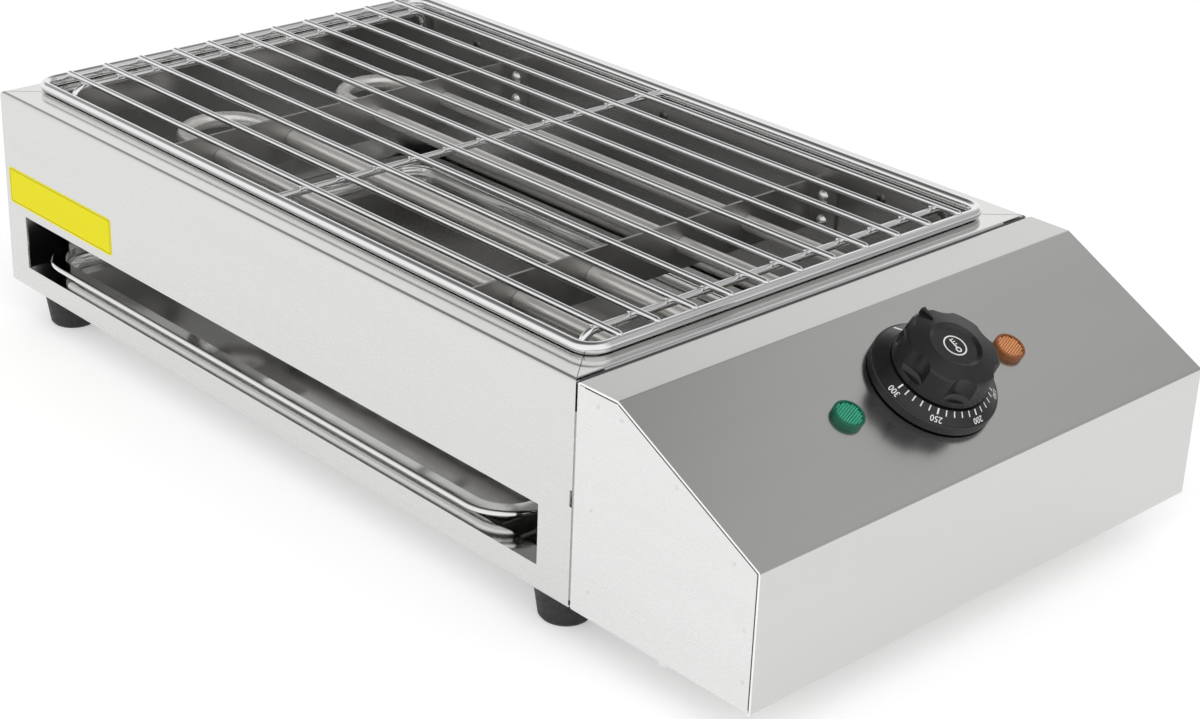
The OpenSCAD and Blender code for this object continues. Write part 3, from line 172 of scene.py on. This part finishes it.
# Dark sides of the room in reflections: direction, then brightness by how closely a ray
# follows it
DARK_SIDES = [
    ((0.1, 0.4, 0.91), [(0.67, 1.0), (0.72, 0.9), (0.77, 0.5), (0.95, 0.12)]),
    ((0.85, -0.35, 0.4), [(0.70, 1.0), (0.86, 0.72), (0.90, 0.58), (0.95, 0.48)]),
]
FILL = 0.7
WHITE = (1, 1, 1, 1)

# Floor and light
FLOOR_SIZE_M = 30
FLOOR_COLOR = (0.82, 0.82, 0.82, 1)
FLOOR_GLOW = 0.36
KEY_PLACE_M = (-1.3, -1.5, 1.9)
KEY_TARGET_M = (0, 0, 0.05)
KEY_SIZE_M = (2.8, 2.4)
KEY_POWER = 26


# Frames

cover_low, cover_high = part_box("control_cover")
case_origin = Vector(((cover_low.x + cover_high.x) / 2, cover_low.y, cover_low.z))


def case_point(x, y, z):
    """Point of the case frame.

    x runs from the centre plane, y from the control front, z from the underside.
    """
    return case_origin + Vector((x, y, z)) * MM


def frame_of(x_axis, y_axis, z_axis, place):
    """Matrix with these axes as its columns."""
    matrix = Matrix((x_axis, y_axis, z_axis)).transposed().to_4x4()
    matrix.translation = place
    return matrix


def slope_frame():
    """Frame on the control slope at the knob: X across, Y up the slope, Z out of the sheet."""
    joint = next(j for j in frame["joints"] if j["name"] == "knob_turn")
    out = Vector(joint["axis"]).normalized()
    return frame_of(X_AXIS, out.cross(X_AXIS), out, Vector(joint["pos_m"]))


SLOPE = slope_frame()


def shift(x, y, z):
    """Translation by lengths in millimetres."""
    return Matrix.Translation((x * MM, y * MM, z * MM))


def polar(radius, degrees, z):
    """Point at a radius, an angle and a height."""
    a = math.radians(degrees)
    return Vector((radius * math.cos(a), radius * math.sin(a), z)) * MM


# Shader helpers


class Graph:
    """Shader nodes of a material or world, added one by one."""

    def __init__(self, tree):
        self.tree = tree

    def node(self, kind, **values):
        node = self.tree.nodes.new(kind)
        for key, value in values.items():
            setattr(node, key, value)
        return node

    def link(self, source, target):
        self.tree.links.new(source, target)

    def feed(self, target, value):
        """Links an input to a socket or sets it to a plain number."""
        if isinstance(value, (int, float)):
            target.default_value = value
        else:
            self.link(value, target)

    def math(self, operation, *values):
        """Math node on sockets or plain numbers."""
        node = self.node("ShaderNodeMath", operation=operation)
        for k, value in enumerate(values):
            self.feed(node.inputs[k], value)
        return node.outputs["Value"]

    def ray_kind(self, *kinds):
        """Socket that is one for the given kinds of ray."""
        path = self.node("ShaderNodeLightPath")
        total = path.outputs[f"Is {kinds[0]} Ray"]
        for kind in kinds[1:]:
            total = self.math("MAXIMUM", total, path.outputs[f"Is {kind} Ray"])
        return total


class Shader(Graph):
    """Principled material with helpers for its wear and grain."""

    def __init__(self, name, color, **inputs):
        self.material = bpy.data.materials.new(name)
        self.material.use_nodes = True
        super().__init__(self.material.node_tree)
        self.bsdf = self.tree.nodes["Principled BSDF"]
        self.bsdf.inputs["Base Color"].default_value = (*color, 1)
        self.color = color
        for key, value in inputs.items():
            label = key.replace("_", " ").title().replace("Ior", "IOR")
            self.bsdf.inputs[label].default_value = value

    def noise(self, scale, detail=2, rough=0.5):
        """Noise in object space, with one scale or one per axis, in cycles a metre."""
        coords = self.node("ShaderNodeTexCoord")
        mapping = self.node("ShaderNodeMapping")
        scales = scale if hasattr(scale, "__len__") else (scale,) * 3
        mapping.inputs["Scale"].default_value = scales
        noise = self.node("ShaderNodeTexNoise")
        noise.inputs["Scale"].default_value = 1
        noise.inputs["Detail"].default_value = detail
        noise.inputs["Roughness"].default_value = rough
        self.link(coords.outputs["Object"], mapping.inputs["Vector"])
        self.link(mapping.outputs["Vector"], noise.inputs["Vector"])
        return noise.outputs["Fac"]

    def spread(self, value, low, high, start=0.3, end=0.7):
        """Maps a noise value from start..end to low..high."""
        remap = self.node("ShaderNodeMapRange")
        limits = {"From Min": start, "From Max": end, "To Min": low, "To Max": high}
        for key, number in limits.items():
            remap.inputs[key].default_value = number
        self.link(value, remap.inputs["Value"])
        return remap.outputs["Result"]

    def vary_roughness(self, value, low, high):
        self.link(self.spread(value, low, high), self.bsdf.inputs["Roughness"])

    def mix_color(self, factor, first, second):
        """Base colour that goes from the first to the second with the factor."""
        mix = self.node("ShaderNodeMix", data_type="RGBA")
        mix.inputs["A"].default_value = (*first, 1)
        mix.inputs["B"].default_value = (*second, 1)
        self.link(factor, mix.inputs["Factor"])
        self.link(mix.outputs["Result"], self.bsdf.inputs["Base Color"])

    def vary_color(self, value, dark, light):
        """Base colour between dark times and light times the material's own colour."""
        self.mix_color(self.spread(value, 0, 1),
                       [c * dark for c in self.color],
                       [min(c * light, 1) for c in self.color])

    def bump(self, value, strength, depth):
        """Bump with a depth in millimetres."""
        bump = self.node("ShaderNodeBump")
        bump.inputs["Strength"].default_value = strength
        bump.inputs["Distance"].default_value = depth * MM
        self.link(value, bump.inputs["Height"])
        self.link(bump.outputs["Normal"], self.bsdf.inputs["Normal"])


# Finishes


def grain(along, across, axis):
    """Noise scale of a brushed grain that runs along one axis."""
    scale = [across] * 3
    scale["xyz".index(axis)] = along
    return tuple(scale)


def brushed(name, color, rough, axis):
    """Sheet steel with a grain along one axis."""
    s = Shader(name, color, metallic=1)
    fine = s.noise(grain(9, 1700, axis), detail=3, rough=0.6)
    broad = s.noise(grain(3, 60, axis), detail=2)
    s.vary_color(broad, 0.99, 1.01)
    s.vary_roughness(fine, rough - 0.01, rough + 0.015)
    s.bump(fine, strength=0.015, depth=0.01)
    return s.material


def polished(name, color, rough, wave):
    """Bright metal with a slight unevenness."""
    s = Shader(name, color, metallic=1)
    s.vary_roughness(s.noise(90, detail=3), rough * 0.7, rough * 1.4)
    s.bump(s.noise(28, detail=1), strength=wave, depth=0.25)
    return s.material


def plated(name, color, rough):
    """Small metal parts without a grain."""
    s = Shader(name, color, metallic=1)
    s.vary_roughness(s.noise(120), rough * 0.9, rough * 1.15)
    s.vary_color(s.noise(60), 0.95, 1.03)
    return s.material


def tube_steel(name):
    """Drawn tube of the heating elements, warm and a little dull."""
    s = Shader(name, (0.88, 0.865, 0.83), metallic=0.75)
    s.vary_color(s.noise((40, 7, 40), detail=3), 0.9, 1.05)
    s.vary_roughness(s.noise(grain(12, 900, "y"), detail=3), 0.26, 0.38)
    s.bump(s.noise(grain(12, 900, "y"), detail=3), strength=0.1, depth=0.02)
    return s.material


def moulded(name, color, rough, texture):
    """Plastic with the fine texture of its mould."""
    s = Shader(name, color)
    s.vary_roughness(s.noise(300), rough - 0.05, rough + 0.06)
    s.vary_color(s.noise(120, detail=3), 0.9, 1.1)
    s.bump(s.noise(2600, detail=2), strength=texture, depth=0.03)
    return s.material


def lens(name, color):
    """Coloured plastic of the pilot lamps."""
    s = Shader(name, color, roughness=0.24, specular_ior_level=0.35)
    s.vary_color(s.noise(240, detail=2), 0.92, 1.08)
    return s.material


def rubber(name):
    """Matt black rubber."""
    s = Shader(name, (0.022, 0.022, 0.023))
    s.vary_roughness(s.noise(500, detail=3), 0.5, 0.75)
    s.bump(s.noise(1800, detail=3), strength=0.35, depth=0.05)
    return s.material


def ceramic(name):
    """Off-white glazed ceramic."""
    s = Shader(name, (0.88, 0.86, 0.80), coat_weight=0.3)
    s.vary_roughness(s.noise(300), 0.25, 0.4)
    s.vary_color(s.noise(90, detail=3), 0.95, 1.04)
    return s.material


def label_film(name):
    """Yellow film with a thin darker line just inside its edge."""
    s = Shader(name, (1.0, 0.90, 0.008), specular_ior_level=0.1)
    s.vary_roughness(s.noise(120), 0.36, 0.44)
    low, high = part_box("side_label")
    split = s.node("ShaderNodeSeparateXYZ")
    s.link(s.node("ShaderNodeTexCoord").outputs["Object"], split.inputs["Vector"])
    past_edge = []
    for axis, a, b in (("Y", low.y, high.y), ("Z", low.z, high.z)):
        offset = s.math("SUBTRACT", split.outputs[axis], (a + b) / 2)
        past_edge.append(s.math("SUBTRACT", s.math("ABSOLUTE", offset), (b - a) / 2))
    nearest = s.math("MAXIMUM", *past_edge)
    line = s.math("COMPARE", nearest, -LABEL_LINE_IN * MM, LABEL_LINE_W / 2 * MM)
    s.mix_color(line, s.color, LABEL_LINE_COLOR)
    return s.material


def paint(name, color):
    """Printed or painted mark."""
    s = Shader(name, color)
    s.vary_roughness(s.noise(900), 0.45, 0.6)
    s.vary_color(s.noise(700, detail=2), 0.93, 1.03)
    return s.material


STEEL = (0.69, 0.688, 0.68)
FINISH = {
    "side": brushed("steel_side", STEEL, 0.27, "y"),
    "slope": brushed("steel_slope", (0.62, 0.617, 0.605), 0.20, "x"),
    "plate": brushed("steel_plate", (0.76, 0.76, 0.755), 0.27, "y"),
    "end": brushed("steel_end", STEEL, 0.24, "x"),
    "flange": brushed("steel_flange", (0.74, 0.738, 0.73), 0.12, "y"),
    # Bare cut edge of the cover, painted much lighter than the sheet so it shows as a bright
    # line: painted highlight
    "edge": plated("cut_edge_highlight", (0.93, 0.93, 0.92), 0.3),
    # Painted shade: near-black strips in the gaps along and behind the cover; the same dark
    # finish also draws the mitre lines of the flange
    "seam": paint("seam_shadow", (0.04, 0.04, 0.04)),
    "liner": brushed("steel_liner", (0.52, 0.517, 0.507), 0.26, "y"),
    "strip": plated("steel_strip", (0.46, 0.455, 0.44), 0.42),
    # Painted shade: the liner rivets are painted nearly black, standing in for the shade in the
    # holes at these places
    "dark": plated("steel_dark", (0.16, 0.155, 0.15), 0.4),
    "wire": polished("chrome_wire", (0.83, 0.83, 0.83), 0.08, wave=0.0),
    "tube": tube_steel("element_tube"),
    # Painted shade: the tray's floor is a much darker copy of the tray steel
    "tray_floor_shade": polished("tray_floor_shade", (0.34, 0.337, 0.33), 0.07, wave=0.12),
    "tray": polished("tray_steel", (0.76, 0.76, 0.75), 0.07, wave=0.12),
    "screw": plated("screw_steel", (0.78, 0.78, 0.77), 0.22),
    "brass": plated("brass_part", (0.75, 0.56, 0.24), 0.28),
    "charcoal": moulded("charcoal_plastic", (0.008, 0.0082, 0.009), 0.27, texture=0.04),
    # Painted highlight: the cells in each lens are a much lighter copy of that lens's colour
    "green": lens("lens_green", (0.004, 0.11, 0.06)),
    "green_cell_highlight": lens("cell_green_highlight", (0.05, 0.46, 0.29)),
    "orange": lens("lens_orange", (0.24, 0.08, 0.022)),
    "orange_cell_highlight": lens("cell_orange_highlight", (0.80, 0.36, 0.15)),
    "white": moulded("white_plastic", (0.80, 0.79, 0.74), 0.45, texture=0.1),
    "ceramic": ceramic("white_ceramic"),
    "rubber": rubber("black_rubber"),
    "wire_sleeve": moulded("wire_sleeve", (0.55, 0.03, 0.02), 0.5, texture=0.5),
    "label": label_film("yellow_label"),
    "mark": paint("white_mark", (0.86, 0.86, 0.84)),
}

NODE_FINISH = {
    "side": ["left_side_panel", "right_side_panel"],
    "end": ["back_panel", "front_bulkhead"],
    "slope": ["control_cover"],
    "plate": ["control_left_plate", "control_right_plate"],
    "liner": ["liner_left", "liner_right", "liner_back", "liner_front", "liner_brackets",
              "base_plate", "tray_rail_front", "tray_rail_back", "control_base"],
    "strip": ["element_strip_front", "element_strip_back", "bulb_clips", "lamp_clips",
              "thermostat_bush"],
    "wire": ["grate_rim", "grate_bars", "grate_cross_bars"],
    "tube": ["element_left", "element_right"],
    "tray": ["drip_tray"],
    # Rivets in the nearly black steel of painted shade
    "dark": ["liner_rivets"],
    "screw": ["foot_screws", "strip_screws", "element_studs", "control_base_screws",
              "knob_spindle", "thermostat_screws"],
    "brass": ["element_nuts", "thermostat_tabs", "capillary", "sensing_bulb",
              "terminal_screws", "earth_stud"],
    "charcoal": ["dial_skirt", "knob_grip", "knob_insert"],
    "green": ["lamp_lens_green"],
    "orange": ["lamp_lens_orange"],
    "white": ["lamp_bodies"],
    "ceramic": ["element_insulators", "thermostat_body", "terminal_block"],
    "rubber": ["foot_front_left", "foot_front_right", "foot_back_left", "foot_back_right",
               "cord_bush", "cord_bush_nut"],
    "wire_sleeve": ["wiring"],
    "label": ["side_label"],
}

# Panels whose top flange was left polished
FLANGED = ["left_side_panel", "right_side_panel", "back_panel", "front_bulkhead"]


def dress_faces(name, finish, chosen):
    """Gives the chosen faces of a node another finish."""
    mesh = frame["nodes"][name].data
    mesh.materials.append(FINISH[finish])
    for face in mesh.polygons:
        if chosen(face):
            face.material_index = 1


def dress_nodes():
    """Gives every CAD node its finish and smooth curved faces."""
    for finish, names in NODE_FINISH.items():
        for name in names:
            mesh = frame["nodes"][name].data
            mesh.materials.clear()
            mesh.materials.append(FINISH[finish])
            mesh.shade_smooth()
            mesh.set_sharp_from_angle(angle=math.radians(SMOOTH_DEG))

    for name in FLANGED:
        dress_faces(name, "flange", lambda face: face.normal.z > FLAT)

    # The cover's cut edges get the lighter steel: painted highlight along the edge
    edge_x = (CASE_W / 2 - EDGE_DEPTH) * MM
    dress_faces("control_cover", "edge",
                lambda face: abs(face.normal.x) > FLAT
                and abs(face.center.x - case_origin.x) > edge_x)

    # Painted shade: the upward faces at the bottom of the tray get the darker floor steel
    tray_low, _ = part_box("drip_tray")
    floor_z = tray_low.z + TRAY_FLOOR_DEPTH * MM
    dress_faces("drip_tray", "tray_floor_shade",
                lambda face: face.normal.z > FLAT and face.center.z < floor_z)


# Mesh helpers


def new_object(name, data):
    """Object of the given data, in the scene."""
    obj = bpy.data.objects.new(name, data)
    bpy.context.scene.collection.objects.link(obj)
    return obj


def piece(name, bm, finish, body, smooth_deg=None):
    """Turns a bmesh into a named piece that rides on a body."""
    mesh = bpy.data.meshes.new(name)
    bmesh.ops.recalc_face_normals(bm, faces=bm.faces)
    bm.to_mesh(mesh)
    bm.free()
    mesh.materials.append(FINISH[finish])
    if smooth_deg:
        mesh.shade_smooth()
        mesh.set_sharp_from_angle(angle=math.radians(smooth_deg))
    obj = new_object(name, mesh)
    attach(obj, body)


def add_box(bm, matrix, size):
    """Box centred on the matrix, with its size in millimetres."""
    scale = Matrix.Diagonal((*[s * MM for s in size], 1))
    bmesh.ops.create_cube(bm, size=1, matrix=matrix @ scale)


def add_row(bm, matrix, radius, z, segments):
    """Closed row of vertices on a circle."""
    return [bm.verts.new(matrix @ polar(radius, 360 * k / segments, z)) for k in range(segments)]


def add_band(bm, low, high):
    """Faces between two closed rows of vertices."""
    for k in range(len(low)):
        n = (k + 1) % len(low)
        bm.faces.new((low[k], low[n], high[n], high[k]))


def add_fan(bm, row, top):
    """Triangles from a closed row of vertices to one vertex."""
    for k in range(len(row)):
        bm.faces.new((row[k], row[(k + 1) % len(row)], top))


def add_dome(bm, matrix, radius, height, segments=14, rings=3):
    """Low dome on the XY plane of the matrix."""
    rises = [math.pi / 2 * i / rings for i in range(rings)]
    rows = [add_row(bm, matrix, radius * math.cos(a), height * math.sin(a), segments)
            for a in rises]
    top = bm.verts.new(matrix @ Vector((0, 0, height * MM)))
    for low, high in zip(rows, rows[1:]):
        add_band(bm, low, high)
    add_fan(bm, rows[-1], top)
    bm.faces.new(list(reversed(rows[0])))


def add_ring(bm, matrix, outer, inner, height, segments=64):
    """Flat ring with a rectangular section."""
    profile = [(inner, 0), (outer, 0), (outer, height), (inner, height)]
    rows = [add_row(bm, matrix, radius, z, segments) for radius, z in profile]
    for low, high in zip(rows, rows[1:] + rows[:1]):
        add_band(bm, low, high)


def add_text(bm, matrix, text, size):
    """Plain numerals, centred on the matrix and raised along its Z."""
    curve = bpy.data.curves.new("numeral", "FONT")
    curve.body = text
    curve.size = size * MM
    curve.align_x = "CENTER"
    curve.align_y = "CENTER"
    curve.extrude = MARK_T * MM / 2
    curve.offset = DIGIT_BOLD * MM
    curve.resolution_u = DIGIT_ARC_STEPS
    holder = new_object("numeral", curve)
    bpy.context.view_layer.update()
    evaluated = holder.evaluated_get(bpy.context.evaluated_depsgraph_get())
    mesh = bpy.data.meshes.new_from_object(evaluated)
    mesh.transform(matrix)
    bm.from_mesh(mesh)
    bpy.data.objects.remove(holder)
    bpy.data.curves.remove(curve)
    bpy.data.meshes.remove(mesh)


# Dial and knob


def cone_frame(radius, degrees):
    """Frame on the dial's cone: X clockwise, Y outward and down, Z off the surface."""
    fall = math.radians(CONE_DEG)
    a = math.radians(degrees)
    outward = Vector((math.cos(a), math.sin(a), 0))
    y_axis = outward * math.cos(fall) - Z_AXIS * math.sin(fall)
    z_axis = Z_AXIS * math.cos(fall) + outward * math.sin(fall)
    place = polar(radius, degrees, CONE_Z - (radius - CONE_R) * math.tan(fall))
    return SLOPE @ frame_of(y_axis.cross(z_axis), y_axis, z_axis, place)


def scale_angle(value):
    """Angle of a temperature on the dial; the scale runs clockwise from the index."""
    return INDEX_DEG - SCALE_STEP_DEG * value / SCALE_VALUES.step


def add_tick(bm, degrees, inner, outer, width):
    """Radial line on the dial's cone, between two radii seen from above."""
    length = (outer - inner) / math.cos(math.radians(CONE_DEG))
    add_box(bm, cone_frame((inner + outer) / 2, degrees), (width, length, MARK_T))


def dial_scale():
    """Ticks, index line and numerals of the dial."""
    bm = bmesh.new()
    for value in range(SCALE_VALUES[0], SCALE_VALUES[-1] + 1, TICK_STEP):
        width = MAJOR_TICK_W if value in SCALE_VALUES else TICK_W
        add_tick(bm, scale_angle(value), TICK_R0, TICK_R1, width)
    add_tick(bm, INDEX_DEG, TICK_R0, INDEX_R1, INDEX_W)
    for value in SCALE_VALUES:
        add_text(bm, cone_frame(DIGIT_R, scale_angle(value)), str(value), DIGIT_SIZE)
    piece("dial_scale", bm, "mark", "knob")


def knob_icon():
    """Plain ring with a simple thermometer in it."""
    bm = bmesh.new()
    base = SLOPE @ shift(0, 0, ICON_Z)
    add_ring(bm, base, ICON_R, ICON_R - ICON_LINE, MARK_T)
    add_ring(bm, base @ shift(0, BULB_Y, 0), BULB_R, BULB_HOLE_R, MARK_T, segments=28)
    add_box(bm, base @ shift(0, STEM_Y, MARK_T / 2), (*STEM_SIZE, MARK_T))
    for y in DEGREE_YS:
        add_box(bm, base @ shift(DEGREE_X, y, MARK_T / 2), (*DEGREE_SIZE, MARK_T))
    piece("knob_icon", bm, "mark", "knob")


# Pilot lamps


def add_cell(bm, matrix, x, y):
    """Small pyramid with a square foot that is sunk into the lens."""
    def square(z):
        return [bm.verts.new(matrix @ (Vector((x + a * CELL_HALF, y + b * CELL_HALF, z)) * MM))
                for a, b in ((-1, -1), (1, -1), (1, 1), (-1, 1))]

    foot, eaves = square(-CELL_SINK), square(CELL_WALL_H)
    top = bm.verts.new(matrix @ (Vector((x, y, CELL_H)) * MM))
    add_band(bm, foot, eaves)
    add_fan(bm, eaves, top)
    bm.faces.new(list(reversed(foot)))


def lamp_waffle(name, side, finish):
    """Field of small pyramids inside the lens rim, in a much lighter copy of the lens colour:
    painted highlight.
    """
    bm = bmesh.new()
    turn = Matrix.Rotation(math.radians(WAFFLE_TURN_DEG), 4, "Z")
    base = SLOPE @ shift(side * LAMP_X, 0, LENS_FLOOR_Z) @ turn
    steps = math.ceil(WAFFLE_R / WAFFLE_PITCH)
    for i in range(-steps, steps + 1):
        for j in range(-steps, steps + 1):
            x, y = i * WAFFLE_PITCH, j * WAFFLE_PITCH
            if math.hypot(x, y) + CELL_HALF <= WAFFLE_R:
                add_cell(bm, base, x, y)
    piece(name, bm, finish, "case")


# Welds, joints and painted shade in the gaps


def spot_welds():
    """Shallow marks where the end plates are welded to the tabs behind them."""
    for side, name in ((-1, "left"), (1, "right")):
        bm = bmesh.new()
        turn = Matrix.Rotation(math.radians(90 * side), 4, "Y")
        for y, z in SPOT_WELDS:
            place = Matrix.Translation(case_point(side * CASE_W / 2, y, z))
            add_dome(bm, place @ turn, SPOT_R, SPOT_H)
        piece(f"spot_welds_{name}", bm, "side", "case",
              smooth_deg=WELD_SMOOTH_DEG)


def cover_seams():
    """Painted shade: a dark strip on each end plate along the cover's cut edge, where the joint
    lies in shade.
    """
    top_y = CTRL_L - COVER_GAP
    corners = [(top_y - SEAM_BACK_IN, CASE_H), (top_y - COVER_TOP_W, CASE_H),
               (0, CASE_H - SLOPE_DROP), (0, SEAM_FOOT_Z)]
    bm = bmesh.new()
    for side in (-1, 1):
        for (y0, z0), (y1, z1) in zip(corners, corners[1:]):
            run = Vector((0, y1 - y0, z1 - z0))
            along = run.normalized()
            inward = along.cross(-X_AXIS)
            middle = case_point(side * CASE_W / 2, (y0 + y1) / 2, (z0 + z1) / 2)
            middle += inward * SEAM_IN * MM
            add_box(bm, frame_of(X_AXIS, along, inward, middle),
                    (SEAM_T, run.length - SEAM_IN, SEAM_W))
    piece("cover_seams", bm, "seam", "case")


def case_joints():
    """Painted shade: a dark strip in the gap behind the cover; and dark lines on the mitred
    joints of the top flange.
    """
    bm = bmesh.new()
    middle = case_point(0, CTRL_L - COVER_GAP / 2, CASE_H - GAP_DEPTH)
    add_box(bm, Matrix.Translation(middle), (CASE_W - 2 * GAP_END_IN, GAP_W, GAP_T))
    for side in (-1, 1):
        for end, into in ((CTRL_L, 1), (CASE_L, -1)):
            outer = case_point(side * CASE_W / 2, end, CASE_H)
            inner = case_point(side * (CASE_W / 2 - FLANGE_SIDE_W),
                               end + into * FLANGE_END_W, CASE_H)
            along = (inner - outer).normalized()
            outer += along * MITRE_IN * MM
            add_box(bm, frame_of(along, Z_AXIS.cross(along), Z_AXIS, (inner + outer) / 2),
                    ((inner - outer).length / MM, MITRE_W, MITRE_T))
    piece("case_joints", bm, "seam", "case")


def grate_beads():
    """Small weld beads where the long bars meet the cross bars."""
    bars_low, bars_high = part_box("grate_bars")
    rim_low, rim_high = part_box("grate_rim")
    first = bars_low.x + BAR_D / 2 * MM
    pitch = (bars_high.x - bars_low.x - BAR_D * MM) / (BAR_N - 1)
    front = rim_low.y + RIM_D / 2 * MM
    back = rim_high.y - RIM_D / 2 * MM
    rows = [front + CROSS_INSET * MM,
            (front + back) / 2 + MID_BAR_SHIFT * MM,
            back - CROSS_INSET * MM]
    joint_z = bars_high.z - BAR_D * MM
    stretch = Matrix.Diagonal((*BEAD_STRETCH, 1))
    bm = bmesh.new()
    for i in range(BAR_N):
        for y in rows:
            for side in (-1, 1):
                place = Vector((first + i * pitch, y + side * BEAD_OFFSET * MM, joint_z))
                bmesh.ops.create_icosphere(bm, subdivisions=2, radius=BEAD_R * MM,
                                           matrix=Matrix.Translation(place) @ stretch)
    piece("grate_weld_beads", bm, "wire", "grate", smooth_deg=WELD_SMOOTH_DEG)


# Studio


def dark_side(graph, direction, stops):
    """Brightness of the room by how closely a ray follows the direction."""
    toward = graph.node("ShaderNodeVectorMath", operation="DOT_PRODUCT")
    toward.inputs[1].default_value = direction
    graph.link(graph.node("ShaderNodeTexCoord").outputs["Generated"], toward.inputs[0])
    ramp = graph.node("ShaderNodeValToRGB")
    given = ramp.color_ramp.elements
    for k, (place, shade) in enumerate(stops):
        stop = given[k] if k < 2 else given.new(place)
        stop.position = place
        stop.color = (shade, shade, shade, 1)
    graph.link(toward.outputs["Value"], ramp.inputs["Fac"])
    return ramp.outputs["Color"]


def background(graph, strength):
    node = graph.node("ShaderNodeBackground")
    node.inputs["Color"].default_value = WHITE
    graph.feed(node.inputs["Strength"], strength)
    return node.outputs["Background"]


def mix_shaders(graph, factor, first, second):
    """Shader that goes from the first to the second with the factor."""
    node = graph.node("ShaderNodeMixShader")
    graph.link(factor, node.inputs["Fac"])
    graph.link(first, node.inputs[1])
    graph.link(second, node.inputs[2])
    return node.outputs["Shader"]


def world():
    """White in view, a room with dark sides in reflections, plain fill light for the rest."""
    studio_world = bpy.data.worlds.new("studio")
    bpy.context.scene.world = studio_world
    studio_world.use_nodes = True
    g = Graph(studio_world.node_tree)
    g.tree.nodes.clear()
    shade = g.math("MULTIPLY", *[dark_side(g, *side) for side in DARK_SIDES])
    lit = mix_shaders(g, g.ray_kind("Glossy", "Transmission"),
                      background(g, FILL), background(g, shade))
    seen = mix_shaders(g, g.ray_kind("Camera"), lit, background(g, 1))
    g.link(seen, g.node("ShaderNodeOutputWorld").inputs["Surface"])


def floor():
    """Pale floor that stays white in view and in reflections and keeps the shadow."""
    bpy.ops.mesh.primitive_plane_add(size=FLOOR_SIZE_M)
    plane = bpy.context.object
    plane.name = "studio_floor"
    material = bpy.data.materials.new("floor_white")
    material.use_nodes = True
    g = Graph(material.node_tree)
    g.tree.nodes.clear()
    diffuse = g.node("ShaderNodeBsdfDiffuse")
    diffuse.inputs["Color"].default_value = FLOOR_COLOR
    glow = g.node("ShaderNodeEmission")
    glowing = g.math("MULTIPLY", g.ray_kind("Camera", "Glossy", "Transmission"), FLOOR_GLOW)
    g.link(glowing, glow.inputs["Strength"])
    both = g.node("ShaderNodeAddShader")
    g.link(diffuse.outputs["BSDF"], both.inputs[0])
    g.link(glow.outputs["Emission"], both.inputs[1])
    g.link(both.outputs["Shader"], g.node("ShaderNodeOutputMaterial").inputs["Surface"])
    plane.data.materials.append(material)


def key_light():
    """Large soft light from the front left that no reflection shows."""
    light = bpy.data.lights.new("key_light", "AREA")
    light.shape = "RECTANGLE"
    light.size, light.size_y = KEY_SIZE_M
    light.energy = KEY_POWER
    obj = new_object("key_light", light)
    aim = Vector(KEY_TARGET_M) - Vector(KEY_PLACE_M)
    obj.location = KEY_PLACE_M
    obj.rotation_euler = aim.to_track_quat("-Z", "Y").to_euler()
    obj.visible_glossy = False


def camera():
    """Camera of the photo, from its azimuth, elevation and roll."""
    azimuth, elevation = math.radians(CAM_AZIMUTH_DEG), math.radians(CAM_ELEVATION_DEG)
    back = Vector((math.sin(azimuth) * math.cos(elevation),
                   -math.cos(azimuth) * math.cos(elevation),
                   math.sin(elevation)))
    right = (-back).cross(Z_AXIS).normalized()
    up = right.cross(-back)
    level = Matrix((right, up, back)).transposed()
    roll = Matrix.Rotation(math.radians(CAM_ROLL_DEG), 3, "Z")
    data = bpy.data.cameras.new("camera")
    data.sensor_width = SENSOR_W
    data.lens = SENSOR_W * CAM_FOCAL_PX / PHOTO_W_PX
    data.clip_start, data.clip_end = CAM_CLIP_M
    cam = new_object("camera", data)
    cam.matrix_world = Matrix.Translation(case_point(*CAM_PLACE)) @ (level @ roll).to_4x4()
    bpy.context.scene.camera = cam


camera()
dress_nodes()
dial_scale()
knob_icon()
lamp_waffle("lamp_waffle_green", -1, "green_cell_highlight")
lamp_waffle("lamp_waffle_orange", 1, "orange_cell_highlight")
spot_welds()
cover_seams()
case_joints()
grate_beads()
world()
floor()
key_light()
bpy.context.scene.view_settings.view_transform = "Standard"
